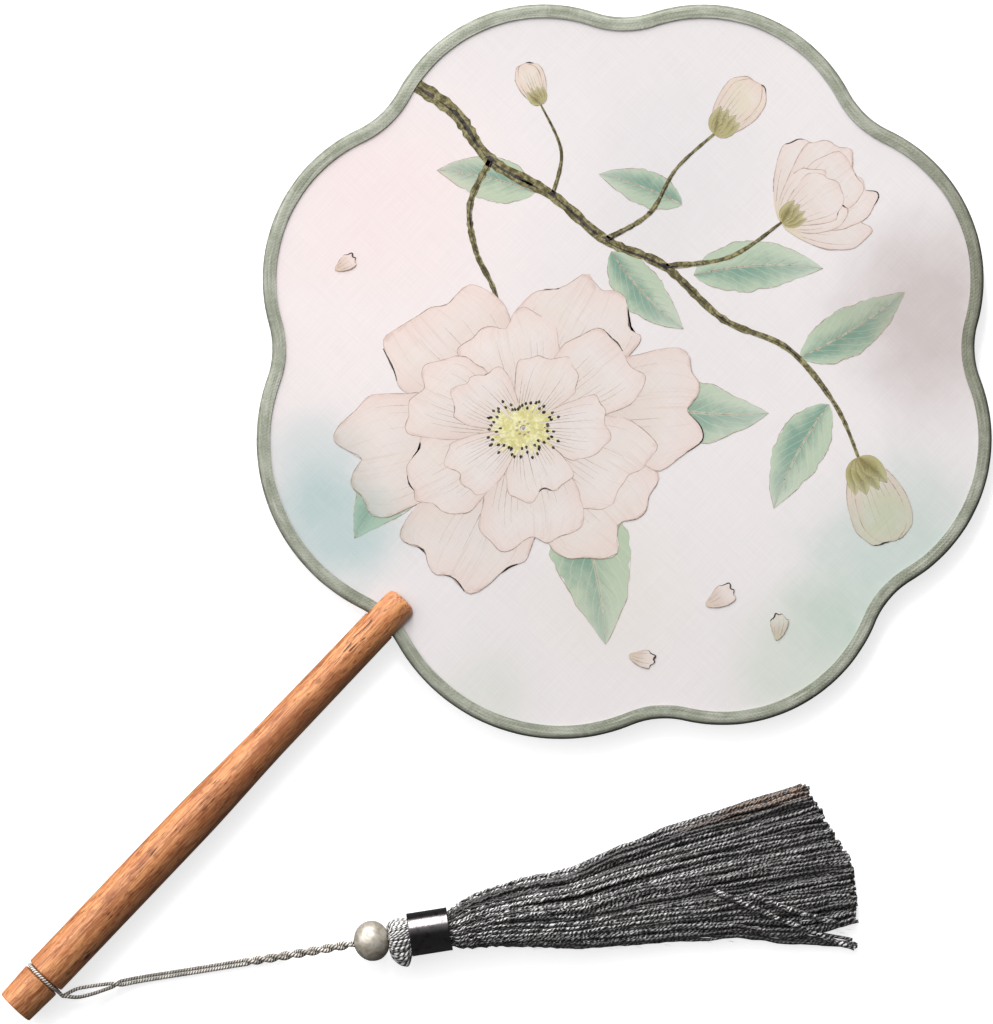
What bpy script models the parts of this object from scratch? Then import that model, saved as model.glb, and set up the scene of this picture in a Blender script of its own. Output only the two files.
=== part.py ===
"""A rigid palace fan: an eight-lobed silk leaf on a bent wire frame, let into a turned wooden handle,
with a doubled cord, a pearl bead and a thread tassel that lie beside it on the table.

Metres, +Z up. The leaf is level and the handle runs along Y, its butt at -Y. The origin is on the surface
that the fan lies on, under the middle of the fan without its cord and tassel.
"""

import math

import bmesh
import bpy
from mathutils import Vector

# Leaf outline, over its edge binding
LOBES = 8
CREST_RADIUS = 0.1293
LOBE_RISE = 0.0122
NOTCH_ROUND = 0.030
LOBE_BY_HANDLE_DEG = 49.4
STEPS_PER_LOBE = 8
STEPS_PER_NOTCH = 4

# Leaf layers
WIRE_RADIUS = 0.0010
SILK_THICKNESS = 0.00025
BINDING_THICKNESS = 0.00045
BINDING_WIDTH = 0.0046
LAYER_GAP = 0.00012
WIRE_BEND = 0.0030
LEG_GAP = 0.0003
TANG_LENGTH = 0.035
BEND_STEPS = 5
BINDING_ROUND_STEPS = 4

# Handle
HANDLE_LENGTH = 0.192
HANDLE_RADIUS = 0.0073
HANDLE_WAIST_RADIUS = 0.0063
HANDLE_TOP_RADIUS = 0.0060
HANDLE_STRAIGHT = 0.085
HANDLE_TAPER = 0.045
TAPER_STEPS = 5
BUTT_ROUND = 0.0010
TOP_ROUND = 0.0015
ROUND_STEPS = 3
LEAF_IN_HANDLE = 0.0115
KERF_CLEARANCE = 0.00015
TANG_CLEARANCE = 0.0003
GROOVE_FROM_BUTT = 0.0140
GROOVE_WIDTH = 0.0022
GROOVE_DEPTH = 0.0015

# Cord: two strands round the handle, twisted into one from the join to the bead
STRAND_RADIUS = 0.0006
STRAND_SPREAD = 0.00075
STRAND_SIDE = 0.00070
TWIST_RADIUS = 0.0012
GROOVE_SEAT = 0.00015
SWING_CLEARANCE = 0.0004
CORD_GAP = 0.0003
CORD_SPAN = 0.0992
CORD_ANGLE_DEG = 36.2
STRAND_LENGTH = 0.0165
LOOP_LEAVES_DEG = 45
LOOP_ARC_STEPS = 15
LOOP_EASE_share = 0.38
# Where the cord lies between its ends: along the span, lift from the table to the end's height, sideways
CORD_ROUTE_shares = (
    (0.00, 1.00, 0.000),
    (0.05, 0.97, 0.000),
    (0.10, 0.79, 0.002),
    (0.15, 0.52, 0.004),
    (0.20, 0.27, 0.006),
    (0.26, 0.09, 0.008),
    (0.33, 0.02, 0.009),
    (0.42, 0.01, 0.008),
    (0.52, 0.01, 0.005),
    (0.61, 0.02, 0.001),
    (0.68, 0.06, -0.002),
    (0.75, 0.18, -0.004),
    (0.82, 0.42, -0.004),
    (0.88, 0.70, -0.002),
    (0.94, 0.93, -0.001),
    (1.00, 1.00, 0.000),
)

# Bead
BEAD_RADIUS = 0.0070
BEAD_LENGTH = 0.0122
BEAD_BORE_CLEARANCE = 0.0003
BEAD_STEPS = 9

# Tassel, along its own line from the point where the cord bends into the bead
TASSEL_ANGLE_DEG = 37.4
HEAD_RADIUS = 0.0076
HEAD_LENGTH = 0.0062
HEAD_CROWN = 0.0020
HEAD_STEPS = 6
POCKET_RADIUS = 0.0034
KNOT_RADIUS = 0.0024
KNOT_STEPS = 6
BAND_RADIUS = 0.0074
BAND_WALL = 0.0005
BAND_LENGTH = 0.0138
BAND_EDGE_ROUND = 0.0002
NECK_RADIUS = 0.0056
WHIPPING_THICKNESS = 0.0009
WHIPPING_GAP = 0.00015
WHIPPING_TURNS = 6
WHIPPING_FROM_END = 0.0020
TURN_DEPTH_share = 0.25
SKIRT_LENGTH = 0.1385
SKIRT_INNER_REACH = 0.0305
SKIRT_OUTER_REACH = 0.0200
HEM_THICKNESS = 0.0072
HEM_RISE_INNER_share = 0.07
HEM_RISE_OUTER_share = 0.013
RIDGES = 16
POINTS_PER_RIDGE = 3
RIDGE_DEPTH_share = 0.035
# Skirt from the band to the hem: along it, its reach towards the leaf and away from it, its thickness
SKIRT_shares = (
    (0.020, 0.250, 0.370, 0.995),
    (0.055, 0.320, 0.385, 0.990),
    (0.110, 0.385, 0.395, 0.960),
    (0.190, 0.450, 0.500, 0.900),
    (0.310, 0.475, 0.665, 0.780),
    (0.450, 0.640, 0.760, 0.580),
    (0.600, 0.780, 0.850, 0.380),
    (0.780, 0.910, 0.930, 0.170),
    (0.920, 0.980, 0.985, 0.040),
    (1.000, 1.000, 1.000, 0.000),
)

# Facets and shading
TURNED_SEGMENTS = 32
SMALL_SEGMENTS = 24
ROUND_TUBE = 2
PLAIN_TUBE = 1
MERGE = 0.000001
CUTTER_OVERRUN = 0.002
SMOOTH_ANGLE_DEG = 40

# Materials: colour, roughness, metallic
WOOD = ("handle_wood", (0.52, 0.22, 0.10), 0.42, 0.0)
WIRE = ("frame_wire", (0.45, 0.45, 0.44), 0.45, 0.9)
SILK_FRONT = ("silk_front", (0.88, 0.85, 0.84), 0.60, 0.0)
SILK_BACK = ("silk_back", (0.87, 0.85, 0.84), 0.60, 0.0)
RIBBON = ("binding_ribbon", (0.44, 0.47, 0.40), 0.75, 0.0)
LOOP_CORD = ("loop_cord", (0.68, 0.64, 0.56), 0.80, 0.0)
OVER_CORD = ("over_cord", (0.66, 0.63, 0.56), 0.80, 0.0)
UNDER_CORD = ("under_cord", (0.64, 0.61, 0.54), 0.80, 0.0)
TWIST_CORD = ("twisted_cord", (0.62, 0.60, 0.54), 0.80, 0.0)
END_CORD = ("end_cord", (0.60, 0.58, 0.52), 0.80, 0.0)
PEARL = ("pearl", (0.78, 0.74, 0.66), 0.22, 0.0)
KNOT_THREAD = ("knot_thread", (0.58, 0.56, 0.50), 0.80, 0.0)
HEAD_THREAD = ("head_thread", (0.32, 0.31, 0.32), 0.55, 0.0)
WHIPPING_THREAD = ("whipping_thread", (0.20, 0.20, 0.21), 0.70, 0.0)
GUNMETAL = ("band_metal", (0.30, 0.29, 0.30), 0.20, 1.0)
SKIRT_THREAD = ("skirt_thread", (0.13, 0.13, 0.14), 0.50, 0.0)

# Sizes that follow from the ones above
corner_radius = CREST_RADIUS - LOBE_RISE
silk_inner = WIRE_RADIUS + LAYER_GAP
silk_outer = silk_inner + SILK_THICKNESS
rim_inner = silk_outer + LAYER_GAP
rim_half = rim_inner + BINDING_THICKNESS
wire_inset = rim_half
silk_inset = wire_inset
leg_x = WIRE_RADIUS + LEG_GAP / 2
notch_start = math.asin((leg_x + WIRE_BEND) / (NOTCH_ROUND + wire_inset))
axis_height = HANDLE_RADIUS
kerf_half = rim_half + KERF_CLEARANCE
tang_bore_radius = leg_x + WIRE_RADIUS + TANG_CLEARANCE
groove_floor = HANDLE_RADIUS - GROOVE_DEPTH
loop_radius = groove_floor + GROOVE_SEAT + STRAND_RADIUS
cord_x = HANDLE_RADIUS + SWING_CLEARANCE + STRAND_SPREAD + STRAND_RADIUS
tassel_height = max(HEAD_RADIUS, BAND_RADIUS, BEAD_RADIUS)
bead_start = TWIST_RADIUS + CORD_GAP
bead_end = bead_start + BEAD_LENGTH
bead_bore = TWIST_RADIUS + BEAD_BORE_CLEARANCE
head_start = bead_end + CORD_GAP
crown_end = head_start + HEAD_CROWN
head_end = head_start + HEAD_LENGTH
band_start = head_end + CORD_GAP
band_end = band_start + BAND_LENGTH
band_bore = BAND_RADIUS - BAND_WALL


def material(finish):
    """A plain Principled material from a name, a colour, a roughness and a metallic value."""
    name, colour, roughness, metallic = finish
    made = bpy.data.materials.new(name)
    made.use_nodes = True
    shader = made.node_tree.nodes["Principled BSDF"]
    shader.inputs["Base Color"].default_value = (*colour, 1)
    shader.inputs["Roughness"].default_value = roughness
    shader.inputs["Metallic"].default_value = metallic
    made.diffuse_color = (*colour, 1)
    return made


def add_object(name, data, parent=None, location=(0, 0, 0)):
    made = bpy.data.objects.new(name, data)
    bpy.context.scene.collection.objects.link(made)
    made.parent = parent
    made.location = location
    return made


def add_mesh(name, bm, finish=None, parent=None, location=(0, 0, 0)):
    """A mesh object whose faces point out, shaded smooth but for its sharp edges."""
    bmesh.ops.recalc_face_normals(bm, faces=bm.faces)
    mesh = bpy.data.meshes.new(name)
    bm.to_mesh(mesh)
    bm.free()
    mesh.shade_smooth()
    mesh.set_sharp_from_angle(angle=math.radians(SMOOTH_ANGLE_DEG))
    if finish:
        mesh.materials.append(material(finish))
    return add_object(name, mesh, parent, location)


def add_pivot(name, location, turn_deg=0):
    """An empty on a joint's axis, whose own Y runs along what it carries."""
    pivot = add_object(name, None, location=location)
    pivot.rotation_euler.z = -math.radians(turn_deg)
    return pivot


def turned(name, profile, finish, closed=False, segments=TURNED_SEGMENTS, parent=None, location=(0, 0, 0)):
    """A body turned about its own Y axis from a profile of (along, radius) points."""
    bm = bmesh.new()
    verts = [bm.verts.new((radius, along, 0)) for along, radius in profile]
    ends = zip(verts, verts[1:] + verts[:1]) if closed else zip(verts, verts[1:])
    edges = [bm.edges.new(pair) for pair in ends]
    bmesh.ops.spin(bm, geom=verts + edges, cent=(0, 0, 0), axis=(0, 1, 0), angle=math.tau,
                   steps=segments, use_merge=True)
    bmesh.ops.remove_doubles(bm, verts=bm.verts, dist=MERGE)
    return add_mesh(name, bm, finish, parent, location)


def lofted(name, rings, finish, parent=None, location=(0, 0, 0)):
    """A closed body through rings of points, with a flat face at each end."""
    bm = bmesh.new()
    rows = [[bm.verts.new(point) for point in ring] for ring in rings]
    for row, following in zip(rows, rows[1:]):
        for i in range(len(row)):
            j = (i + 1) % len(row)
            bm.faces.new((row[i], row[j], following[j], following[i]))
    bm.faces.new(rows[0])
    bm.faces.new(rows[-1])
    return add_mesh(name, bm, finish, parent, location)


def tube(name, points, radius, finish, sides=ROUND_TUBE, swells=None, parent=None, location=(0, 0, 0)):
    """A round tube along points, with flat ends. swells scale its radius at each point."""
    curve = bpy.data.curves.new(name, "CURVE")
    curve.dimensions = "3D"
    curve.bevel_depth = radius
    curve.bevel_resolution = sides
    curve.use_fill_caps = True
    spline = curve.splines.new("POLY")
    spline.points.add(len(points) - 1)
    for i, point in enumerate(points):
        spline.points[i].co = (*point, 1)
        spline.points[i].radius = swells[i] if swells else 1
    curve.materials.append(material(finish))
    return add_object(name, curve, parent, location)


def arc(centre, radius, start, sweep, steps):
    """Points on an arc in a plane, its far end left out."""
    angles = [start + sweep * i / steps for i in range(steps)]
    return [(centre[0] + radius * math.cos(a), centre[1] + radius * math.sin(a)) for a in angles]


def ease(start, start_handle, end_handle, end, steps):
    """Points on a cubic curve between two ends, with both ends left out."""
    points = []
    for i in range(1, steps + 1):
        t = i / (steps + 1)
        weights = ((1 - t) ** 3, 3 * t * (1 - t) ** 2, 3 * t * t * (1 - t), t ** 3)
        corners = (start, start_handle, end_handle, end)
        points.append(tuple(sum(w * c[k] for w, c in zip(weights, corners)) for k in range(len(start))))
    return points


def smooth_between(before, start, end, after, t):
    """A point at t on the smooth curve from start to end, given the points on either side."""
    return tuple(
        (2 * b + (c - a) * t + (2 * a - 5 * b + 4 * c - d) * t * t + (3 * b - a - 3 * c + d) * t ** 3) / 2
        for a, b, c, d in zip(before, start, end, after)
    )


def lobe_arcs():
    """Each lobe's arc as (centre, radius), from the handle round by +X, about the leaf's centre."""
    lobe_deg = (360 - 2 * LOBE_BY_HANDLE_DEG) / (LOBES - 2)
    widths = [math.radians(LOBE_BY_HANDLE_DEG if i in (0, LOBES - 1) else lobe_deg) for i in range(LOBES)]
    arcs = []
    turn = -math.pi / 2
    for width in widths:
        middle = turn + width / 2
        turn += width
        reach = (CREST_RADIUS ** 2 - corner_radius ** 2) / (
            2 * (CREST_RADIUS - corner_radius * math.cos(width / 2)))
        arcs.append((Vector((reach * math.cos(middle), reach * math.sin(middle))), CREST_RADIUS - reach))
    return arcs


def notch_centre(one, other):
    """The centre of the rounding between two lobes, outside the leaf and tangent to both."""
    (a, a_radius), (b, b_radius) = one, other
    r, s = a_radius + NOTCH_ROUND, b_radius + NOTCH_ROUND
    apart = (b - a).length
    along = (r * r - s * s + apart * apart) / (2 * apart)
    across = math.sqrt(r * r - along * along)
    way = (b - a) / apart
    return a + way * along + Vector((way.y, -way.x)) * across


def angle_of(v):
    return math.atan2(v.y, v.x)


def turn_between(start, end, sign):
    """The turn from start to end, all one way."""
    turn = (end - start) * sign % math.tau
    return turn * sign


def leaf_outline(inset, first_turn=0):
    """The leaf's outline, inset by a distance, as (x, y) about its centre.

    It runs from the notch at the handle round by +X and back. first_turn leaves that much of the notch's
    rounding out at each end, and with none left out the outline closes on itself.
    """
    arcs = lobe_arcs()
    notches = [notch_centre(arcs[i - 1], arcs[i]) for i in range(LOBES)]
    points = []
    for i, (centre, radius) in enumerate(arcs):
        into, out_of = notches[i], notches[(i + 1) % LOBES]
        before = angle_of(arcs[i - 1][0] - into)
        after = angle_of(centre - into)
        notch_turn = turn_between(before, after, -1)
        steps = STEPS_PER_NOTCH
        if i == 0:
            before += notch_turn / 2 - first_turn
            notch_turn = notch_turn / 2 + first_turn
            steps = STEPS_PER_NOTCH // 2
        points += arc(into, NOTCH_ROUND + inset, before, notch_turn, steps)
        start, end = angle_of(into - centre), angle_of(out_of - centre)
        points += arc(centre, radius - inset, start, turn_between(start, end, 1), STEPS_PER_LOBE)
    into = notches[0]
    before = angle_of(arcs[-1][0] - into)
    half = turn_between(before, math.pi / 2, -1) + first_turn
    points += arc(into, NOTCH_ROUND + inset, before, half, STEPS_PER_NOTCH // 2)
    if first_turn:
        last = before + half
        points.append((into.x + (NOTCH_ROUND + inset) * math.cos(last),
                       into.y + (NOTCH_ROUND + inset) * math.sin(last)))
    return points


# Places along the handle, from the leaf's outline
outline_over_binding = leaf_outline(0)
leaf_reach = max(y for x, y in outline_over_binding)
notch_depth = -outline_over_binding[0][1]
leaf_from_butt = HANDLE_LENGTH - LEAF_IN_HANDLE + notch_depth
butt_y = -(leaf_from_butt + leaf_reach) / 2
leaf_y = butt_y + leaf_from_butt
top_y = butt_y + HANDLE_LENGTH
groove_y = butt_y + GROOVE_FROM_BUTT
notch_sag = NOTCH_ROUND - math.sqrt(NOTCH_ROUND ** 2 - HANDLE_RADIUS ** 2)
kerf_y = leaf_y - notch_depth - notch_sag - KERF_CLEARANCE
tang_y = kerf_y - TANG_LENGTH
cord_way = Vector((math.sin(math.radians(CORD_ANGLE_DEG)), math.cos(math.radians(CORD_ANGLE_DEG)), 0))
cord_place = Vector((cord_x, groove_y, axis_height))
tassel_place = Vector((cord_x, groove_y, tassel_height)) + cord_way * CORD_SPAN


def handle_profile():
    """From the butt's middle to the top's middle, as (along, radius)."""
    profile = [(0, 0)]
    rounding = arc((BUTT_ROUND, HANDLE_RADIUS - BUTT_ROUND), BUTT_ROUND, math.pi, -math.pi / 2, ROUND_STEPS)
    profile += rounding
    profile.append((BUTT_ROUND, HANDLE_RADIUS))
    for side in (-1, 1):
        wall = GROOVE_FROM_BUTT + side * GROOVE_WIDTH / 2
        profile += [(wall, HANDLE_RADIUS), (wall, groove_floor)][::-side]
    taper = HANDLE_RADIUS - HANDLE_WAIST_RADIUS
    for i in range(TAPER_STEPS + 1):
        t = i / TAPER_STEPS
        profile.append((HANDLE_STRAIGHT + HANDLE_TAPER * t, HANDLE_RADIUS - taper * t * t * (3 - 2 * t)))
    profile += arc((HANDLE_LENGTH - TOP_ROUND, HANDLE_TOP_RADIUS - TOP_ROUND), TOP_ROUND,
                   math.pi / 2, -math.pi / 2, ROUND_STEPS)
    profile.append((HANDLE_LENGTH, HANDLE_TOP_RADIUS - TOP_ROUND))
    profile.append((HANDLE_LENGTH, 0))
    return profile


def cut(target, name, bm, location):
    """Cuts a closed shape out of an object."""
    cutter = add_mesh(name, bm, location=location)
    cutter.hide_render = True
    cutter.display_type = "WIRE"
    boolean = target.modifiers.new(name, "BOOLEAN")
    boolean.operation = "DIFFERENCE"
    boolean.object = cutter


def make_handle():
    """The turned stick, with the kerf that grips the leaf's rim and the bore behind it for the wire's tang."""
    handle = turned("handle", handle_profile(), WOOD, location=(0, butt_y, axis_height))
    kerf = bmesh.new()
    bmesh.ops.create_cube(kerf, size=1)
    width = 2 * (HANDLE_RADIUS + CUTTER_OVERRUN)
    depth = top_y - kerf_y + CUTTER_OVERRUN
    bmesh.ops.scale(kerf, vec=(width, depth, 2 * kerf_half), verts=kerf.verts)
    cut(handle, "kerf_cutter", kerf, (0, kerf_y + depth / 2, axis_height))
    bore = bmesh.new()
    length = TANG_LENGTH + TANG_CLEARANCE + CUTTER_OVERRUN
    bmesh.ops.create_cone(bore, cap_ends=True, segments=SMALL_SEGMENTS, radius1=tang_bore_radius,
                          radius2=tang_bore_radius, depth=length)
    for vert in bore.verts:
        vert.co = (vert.co.x, vert.co.z, -vert.co.y)
    cut(handle, "tang_bore_cutter", bore, (0, tang_y - TANG_CLEARANCE + length / 2, axis_height))


def make_frame():
    """One wire bent round all the lobes, its two ends side by side as a tang in the handle."""
    rim = leaf_outline(wire_inset, notch_start)
    x, y = rim[0]
    way = Vector((math.cos(notch_start), -math.sin(notch_start)))
    handle_length = WIRE_BEND / 2
    shoulder = (leg_x, y - WIRE_BEND)
    bend = ease(shoulder, (leg_x, shoulder[1] + handle_length),
                (x - way.x * handle_length, y - way.y * handle_length), (x, y), BEND_STEPS)
    half = [(leg_x, tang_y - leaf_y), shoulder] + bend
    path = half + rim + [(-px, py) for px, py in reversed(half)]
    tube("frame_wire", [(px, py, 0) for px, py in path], WIRE_RADIUS, WIRE, sides=PLAIN_TUBE,
         location=(0, leaf_y, axis_height))


def make_silk(name, finish, low):
    """One flat face of silk, cut to the leaf's outline inside the binding."""
    outline = leaf_outline(silk_inset)
    rings = [[(x, y, z) for x, y in outline] for z in (low, low + SILK_THICKNESS)]
    lofted(name, rings, finish, location=(0, leaf_y, axis_height))


def binding_section():
    """The ribbon folded over the rim, as (inset, height) points round its section."""
    outer = arc((rim_half, 0), rim_half, -math.pi / 2, -math.pi, BINDING_ROUND_STEPS)
    inner = arc((rim_half, 0), rim_inner, -math.pi / 2, -math.pi, BINDING_ROUND_STEPS)
    outer += [(rim_half, rim_half), (BINDING_WIDTH, rim_half)]
    inner += [(rim_half, rim_inner), (BINDING_WIDTH, rim_inner)]
    return [(BINDING_WIDTH, -rim_half)] + outer + inner[::-1] + [(BINDING_WIDTH, -rim_inner)]


def make_binding():
    """The edge ribbon, which stops on both sides of the tang, inside the kerf."""
    lines = [[(x, y, z) for x, y in leaf_outline(inset, notch_start)] for inset, z in binding_section()]
    lofted("edge_binding", list(zip(*lines)), RIBBON, location=(0, leaf_y, axis_height))


def make_loop():
    """The strand round the handle, whose two ends leave the groove together, one over the other."""
    end_x = cord_x - STRAND_RADIUS - CORD_GAP
    leaves = math.radians(LOOP_LEAVES_DEG)
    on_arc = Vector((loop_radius * math.cos(leaves), loop_radius * math.sin(leaves)))
    end = Vector((end_x, STRAND_SPREAD))
    pull = (on_arc - end).length * LOOP_EASE_share
    round_way = Vector((-math.sin(leaves), math.cos(leaves)))
    half = [tuple(end)] + ease(end, end - Vector((pull, 0)), on_arc - round_way * pull, on_arc, BEND_STEPS)
    path = half + arc((0, 0), loop_radius, leaves, math.tau - 2 * leaves, LOOP_ARC_STEPS)
    path += [(loop_radius * math.cos(leaves), -loop_radius * math.sin(leaves))]
    path += [(x, -z) for x, z in reversed(half)]
    tube("cord_loop", [(x, 0, z) for x, z in path], STRAND_RADIUS, LOOP_CORD,
         location=(0, groove_y, axis_height))


def cord_route():
    """The cord's route points, as (sideways, along, height) from the swing pivot."""
    points = []
    for along, lift, side in CORD_ROUTE_shares:
        top = axis_height if along < CORD_ROUTE_shares[len(CORD_ROUTE_shares) // 2][0] else tassel_height
        height = TWIST_RADIUS + lift * (top - TWIST_RADIUS)
        points.append((side * CORD_SPAN, along * CORD_SPAN, height - axis_height))
    return points


def on_route(route, along):
    """The point of the smooth curve through the route at a distance along the span."""
    spots = [route[0]] + route + [route[-1]]
    for i in range(1, len(spots) - 2):
        start, end = spots[i], spots[i + 1]
        if along <= end[1] or i == len(spots) - 3:
            t = min(max((along - start[1]) / (end[1] - start[1]), 0), 1)
            side, _, height = smooth_between(spots[i - 1], start, end, spots[i + 2], t)
            return side, along, height
    return route[-1]


def rounded_end(radius):
    """Steps past a tube's last point, and the swell at each, that give it a ball end."""
    turns = [math.pi / 6 * i for i in (1, 2)]
    return [(radius * math.sin(a), math.cos(a)) for a in turns]


def make_cord(pivot):
    """The two strands from the loop to their join, then the twisted cord along the table to the bead."""
    route = cord_route()
    steps = math.ceil(STRAND_LENGTH / (4 * STRAND_RADIUS))
    for name, finish, over in (("cord_strand_over", OVER_CORD, 1), ("cord_strand_under", UNDER_CORD, -1)):
        points, swells = [], []
        for back, swell in reversed(rounded_end(STRAND_RADIUS)):
            points.append((0, -back, over * STRAND_SPREAD))
            swells.append(swell)
        for i in range(steps + 1):
            side, along, height = on_route(route, STRAND_LENGTH * i / steps)
            turn = math.pi / 2 * i / steps
            points.append((side + over * STRAND_SIDE * math.sin(turn), along,
                           height + over * STRAND_SPREAD * math.cos(turn)))
            swells.append(1)
        tube(name, points, STRAND_RADIUS, finish, swells=swells, parent=pivot)
    start = STRAND_LENGTH + CORD_GAP
    steps = math.ceil((CORD_SPAN - start) / (2 * 2 * TWIST_RADIUS))
    points = [on_route(route, start + (CORD_SPAN - start) * i / steps) for i in range(steps + 1)]
    swells = [1] * len(points)
    for past, swell in rounded_end(TWIST_RADIUS):
        points.append((0, CORD_SPAN + past, tassel_height - axis_height))
        swells.append(swell)
    tube("cord_twisted", points, TWIST_RADIUS, TWIST_CORD, swells=swells, parent=pivot)


def make_bead(pivot):
    """A pearl with a straight bore, a little shorter along its bore than across."""
    middle = bead_start + BEAD_LENGTH / 2
    opening = math.asin(bead_bore / BEAD_RADIUS)
    reach = BEAD_LENGTH / 2 / math.cos(opening)
    profile = []
    for i in range(BEAD_STEPS + 1):
        turn = opening + (math.pi - 2 * opening) * i / BEAD_STEPS
        profile.append((middle - reach * math.cos(turn), BEAD_RADIUS * math.sin(turn)))
    turned("pearl_bead", profile, PEARL, closed=True, segments=SMALL_SEGMENTS, parent=pivot)


def make_cord_end(pivot):
    """The cord through the bead and the head's crown, and the knot that stops it in the head."""
    steps = math.ceil((crown_end - bead_start) / (2 * 2 * TWIST_RADIUS))
    points = [(0, bead_start + (crown_end - bead_start) * i / steps, 0) for i in range(steps + 1)]
    tube("cord_end", points, TWIST_RADIUS, END_CORD, parent=pivot)
    start = crown_end + CORD_GAP
    reach = (head_end - start) / 2
    profile = [(start + reach - reach * math.cos(math.pi * i / KNOT_STEPS),
                KNOT_RADIUS * math.sin(math.pi * i / KNOT_STEPS)) for i in range(KNOT_STEPS)]
    profile.append((head_end, 0))
    turned("cord_knot", profile, KNOT_THREAD, segments=SMALL_SEGMENTS // 2, parent=pivot)


def make_head(pivot):
    """The collar of looped thread over the knot: a rounded ring with a bored crown, open below."""
    reach = HEAD_LENGTH / 2
    round_out = HEAD_RADIUS - reach
    profile = [(head_start, bead_bore)]
    for i in range(HEAD_STEPS + 1):
        turn = math.pi * i / HEAD_STEPS
        profile.append((head_start + reach - reach * math.cos(turn), round_out + reach * math.sin(turn)))
    profile += [(head_end, POCKET_RADIUS), (crown_end, POCKET_RADIUS), (crown_end, bead_bore)]
    turned("tassel_head", profile, HEAD_THREAD, closed=True, parent=pivot)


def make_band(pivot):
    """The metal sleeve pressed over the bound neck."""
    lip = BAND_RADIUS - BAND_EDGE_ROUND
    profile = [(band_start, band_bore), (band_start, lip), (band_start + BAND_EDGE_ROUND, BAND_RADIUS),
               (band_end - BAND_EDGE_ROUND, BAND_RADIUS), (band_end, lip), (band_end, band_bore)]
    turned("tassel_band", profile, GUNMETAL, closed=True, parent=pivot)


def make_whipping(pivot):
    """The thread wound round the neck under the band, a ridge for each turn."""
    inner = NECK_RADIUS + WHIPPING_GAP
    outer = inner + WHIPPING_THICKNESS
    valley = outer - WHIPPING_THICKNESS * TURN_DEPTH_share
    start = band_start + WHIPPING_FROM_END
    pitch = (band_end - band_start - 2 * WHIPPING_FROM_END) / WHIPPING_TURNS
    profile = [(start, inner)]
    for i in range(WHIPPING_TURNS):
        profile += [(start + pitch * i, valley), (start + pitch * i + pitch / 2, outer)]
    profile += [(start + pitch * WHIPPING_TURNS, valley), (start + pitch * WHIPPING_TURNS, inner)]
    turned("neck_whipping", profile, WHIPPING_THREAD, closed=True, segments=SMALL_SEGMENTS, parent=pivot)


def skirt_ring(along, inner, outer, half_height, middle_height, lean):
    """One ring of the thread bundle: an oval, ridged where threads bunch. lean draws its sides back."""
    count = RIDGES * POINTS_PER_RIDGE
    middle, reach = (outer - inner) / 2, (outer + inner) / 2
    ring = []
    for i in range(count):
        turn = math.tau * i / count
        ridge = 1 - RIDGE_DEPTH_share * (1 - math.cos(RIDGES * turn)) / 2
        across = math.cos(turn)
        rise = HEM_RISE_OUTER_share if across > 0 else HEM_RISE_INNER_share
        ring.append((middle + reach * across * ridge,
                     along - lean * SKIRT_LENGTH * rise * across * across,
                     middle_height + half_height * math.sin(turn) * ridge))
    return ring


def make_skirt(pivot):
    """The thread bundle: its bound neck inside the band, then the skirt that fans out flat on the table."""
    neck = [(band_start, NECK_RADIUS), (band_end - WHIPPING_FROM_END, NECK_RADIUS),
            (band_end, band_bore - CORD_GAP)]
    rings = [skirt_ring(along, radius, radius, radius, 0, 0) for along, radius in neck]
    thinnest = HEM_THICKNESS / 2
    for share, inner, outer, fullness in SKIRT_shares:
        half_height = thinnest + fullness * (BAND_RADIUS - thinnest)
        rings.append(skirt_ring(band_end + share * SKIRT_LENGTH, inner * SKIRT_INNER_REACH,
                                outer * SKIRT_OUTER_REACH, half_height, half_height - tassel_height,
                                share))
    lofted("tassel_skirt", rings, SKIRT_THREAD, parent=pivot)


def main():
    for old in list(bpy.data.objects):
        bpy.data.objects.remove(old, do_unlink=True)
    make_handle()
    make_frame()
    make_silk("silk_front", SILK_FRONT, silk_inner)
    make_silk("silk_back", SILK_BACK, -silk_outer)
    make_binding()
    make_loop()
    make_cord(add_pivot("cord_pivot", cord_place, CORD_ANGLE_DEG))
    tassel = add_pivot("tassel_pivot", tassel_place, TASSEL_ANGLE_DEG)
    make_bead(tassel)
    make_cord_end(tassel)
    make_head(tassel)
    make_band(tassel)
    make_whipping(tassel)
    make_skirt(tassel)


main()
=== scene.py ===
"""Looks of the silk palace fan: wood, stretched silk with a painted blossom branch, edge ribbon, cord,
pearl and thread tassel, lit softly on a white table and seen from straight above.

Lengths are in metres unless a name ends in mm. The handle runs along Y and the leaf lies level.
"""

import random
from math import asin, atan2, cos, exp, hypot, log, pi, radians, sin, sqrt, tau

import bmesh
import bpy
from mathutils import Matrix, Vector, noise


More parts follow.
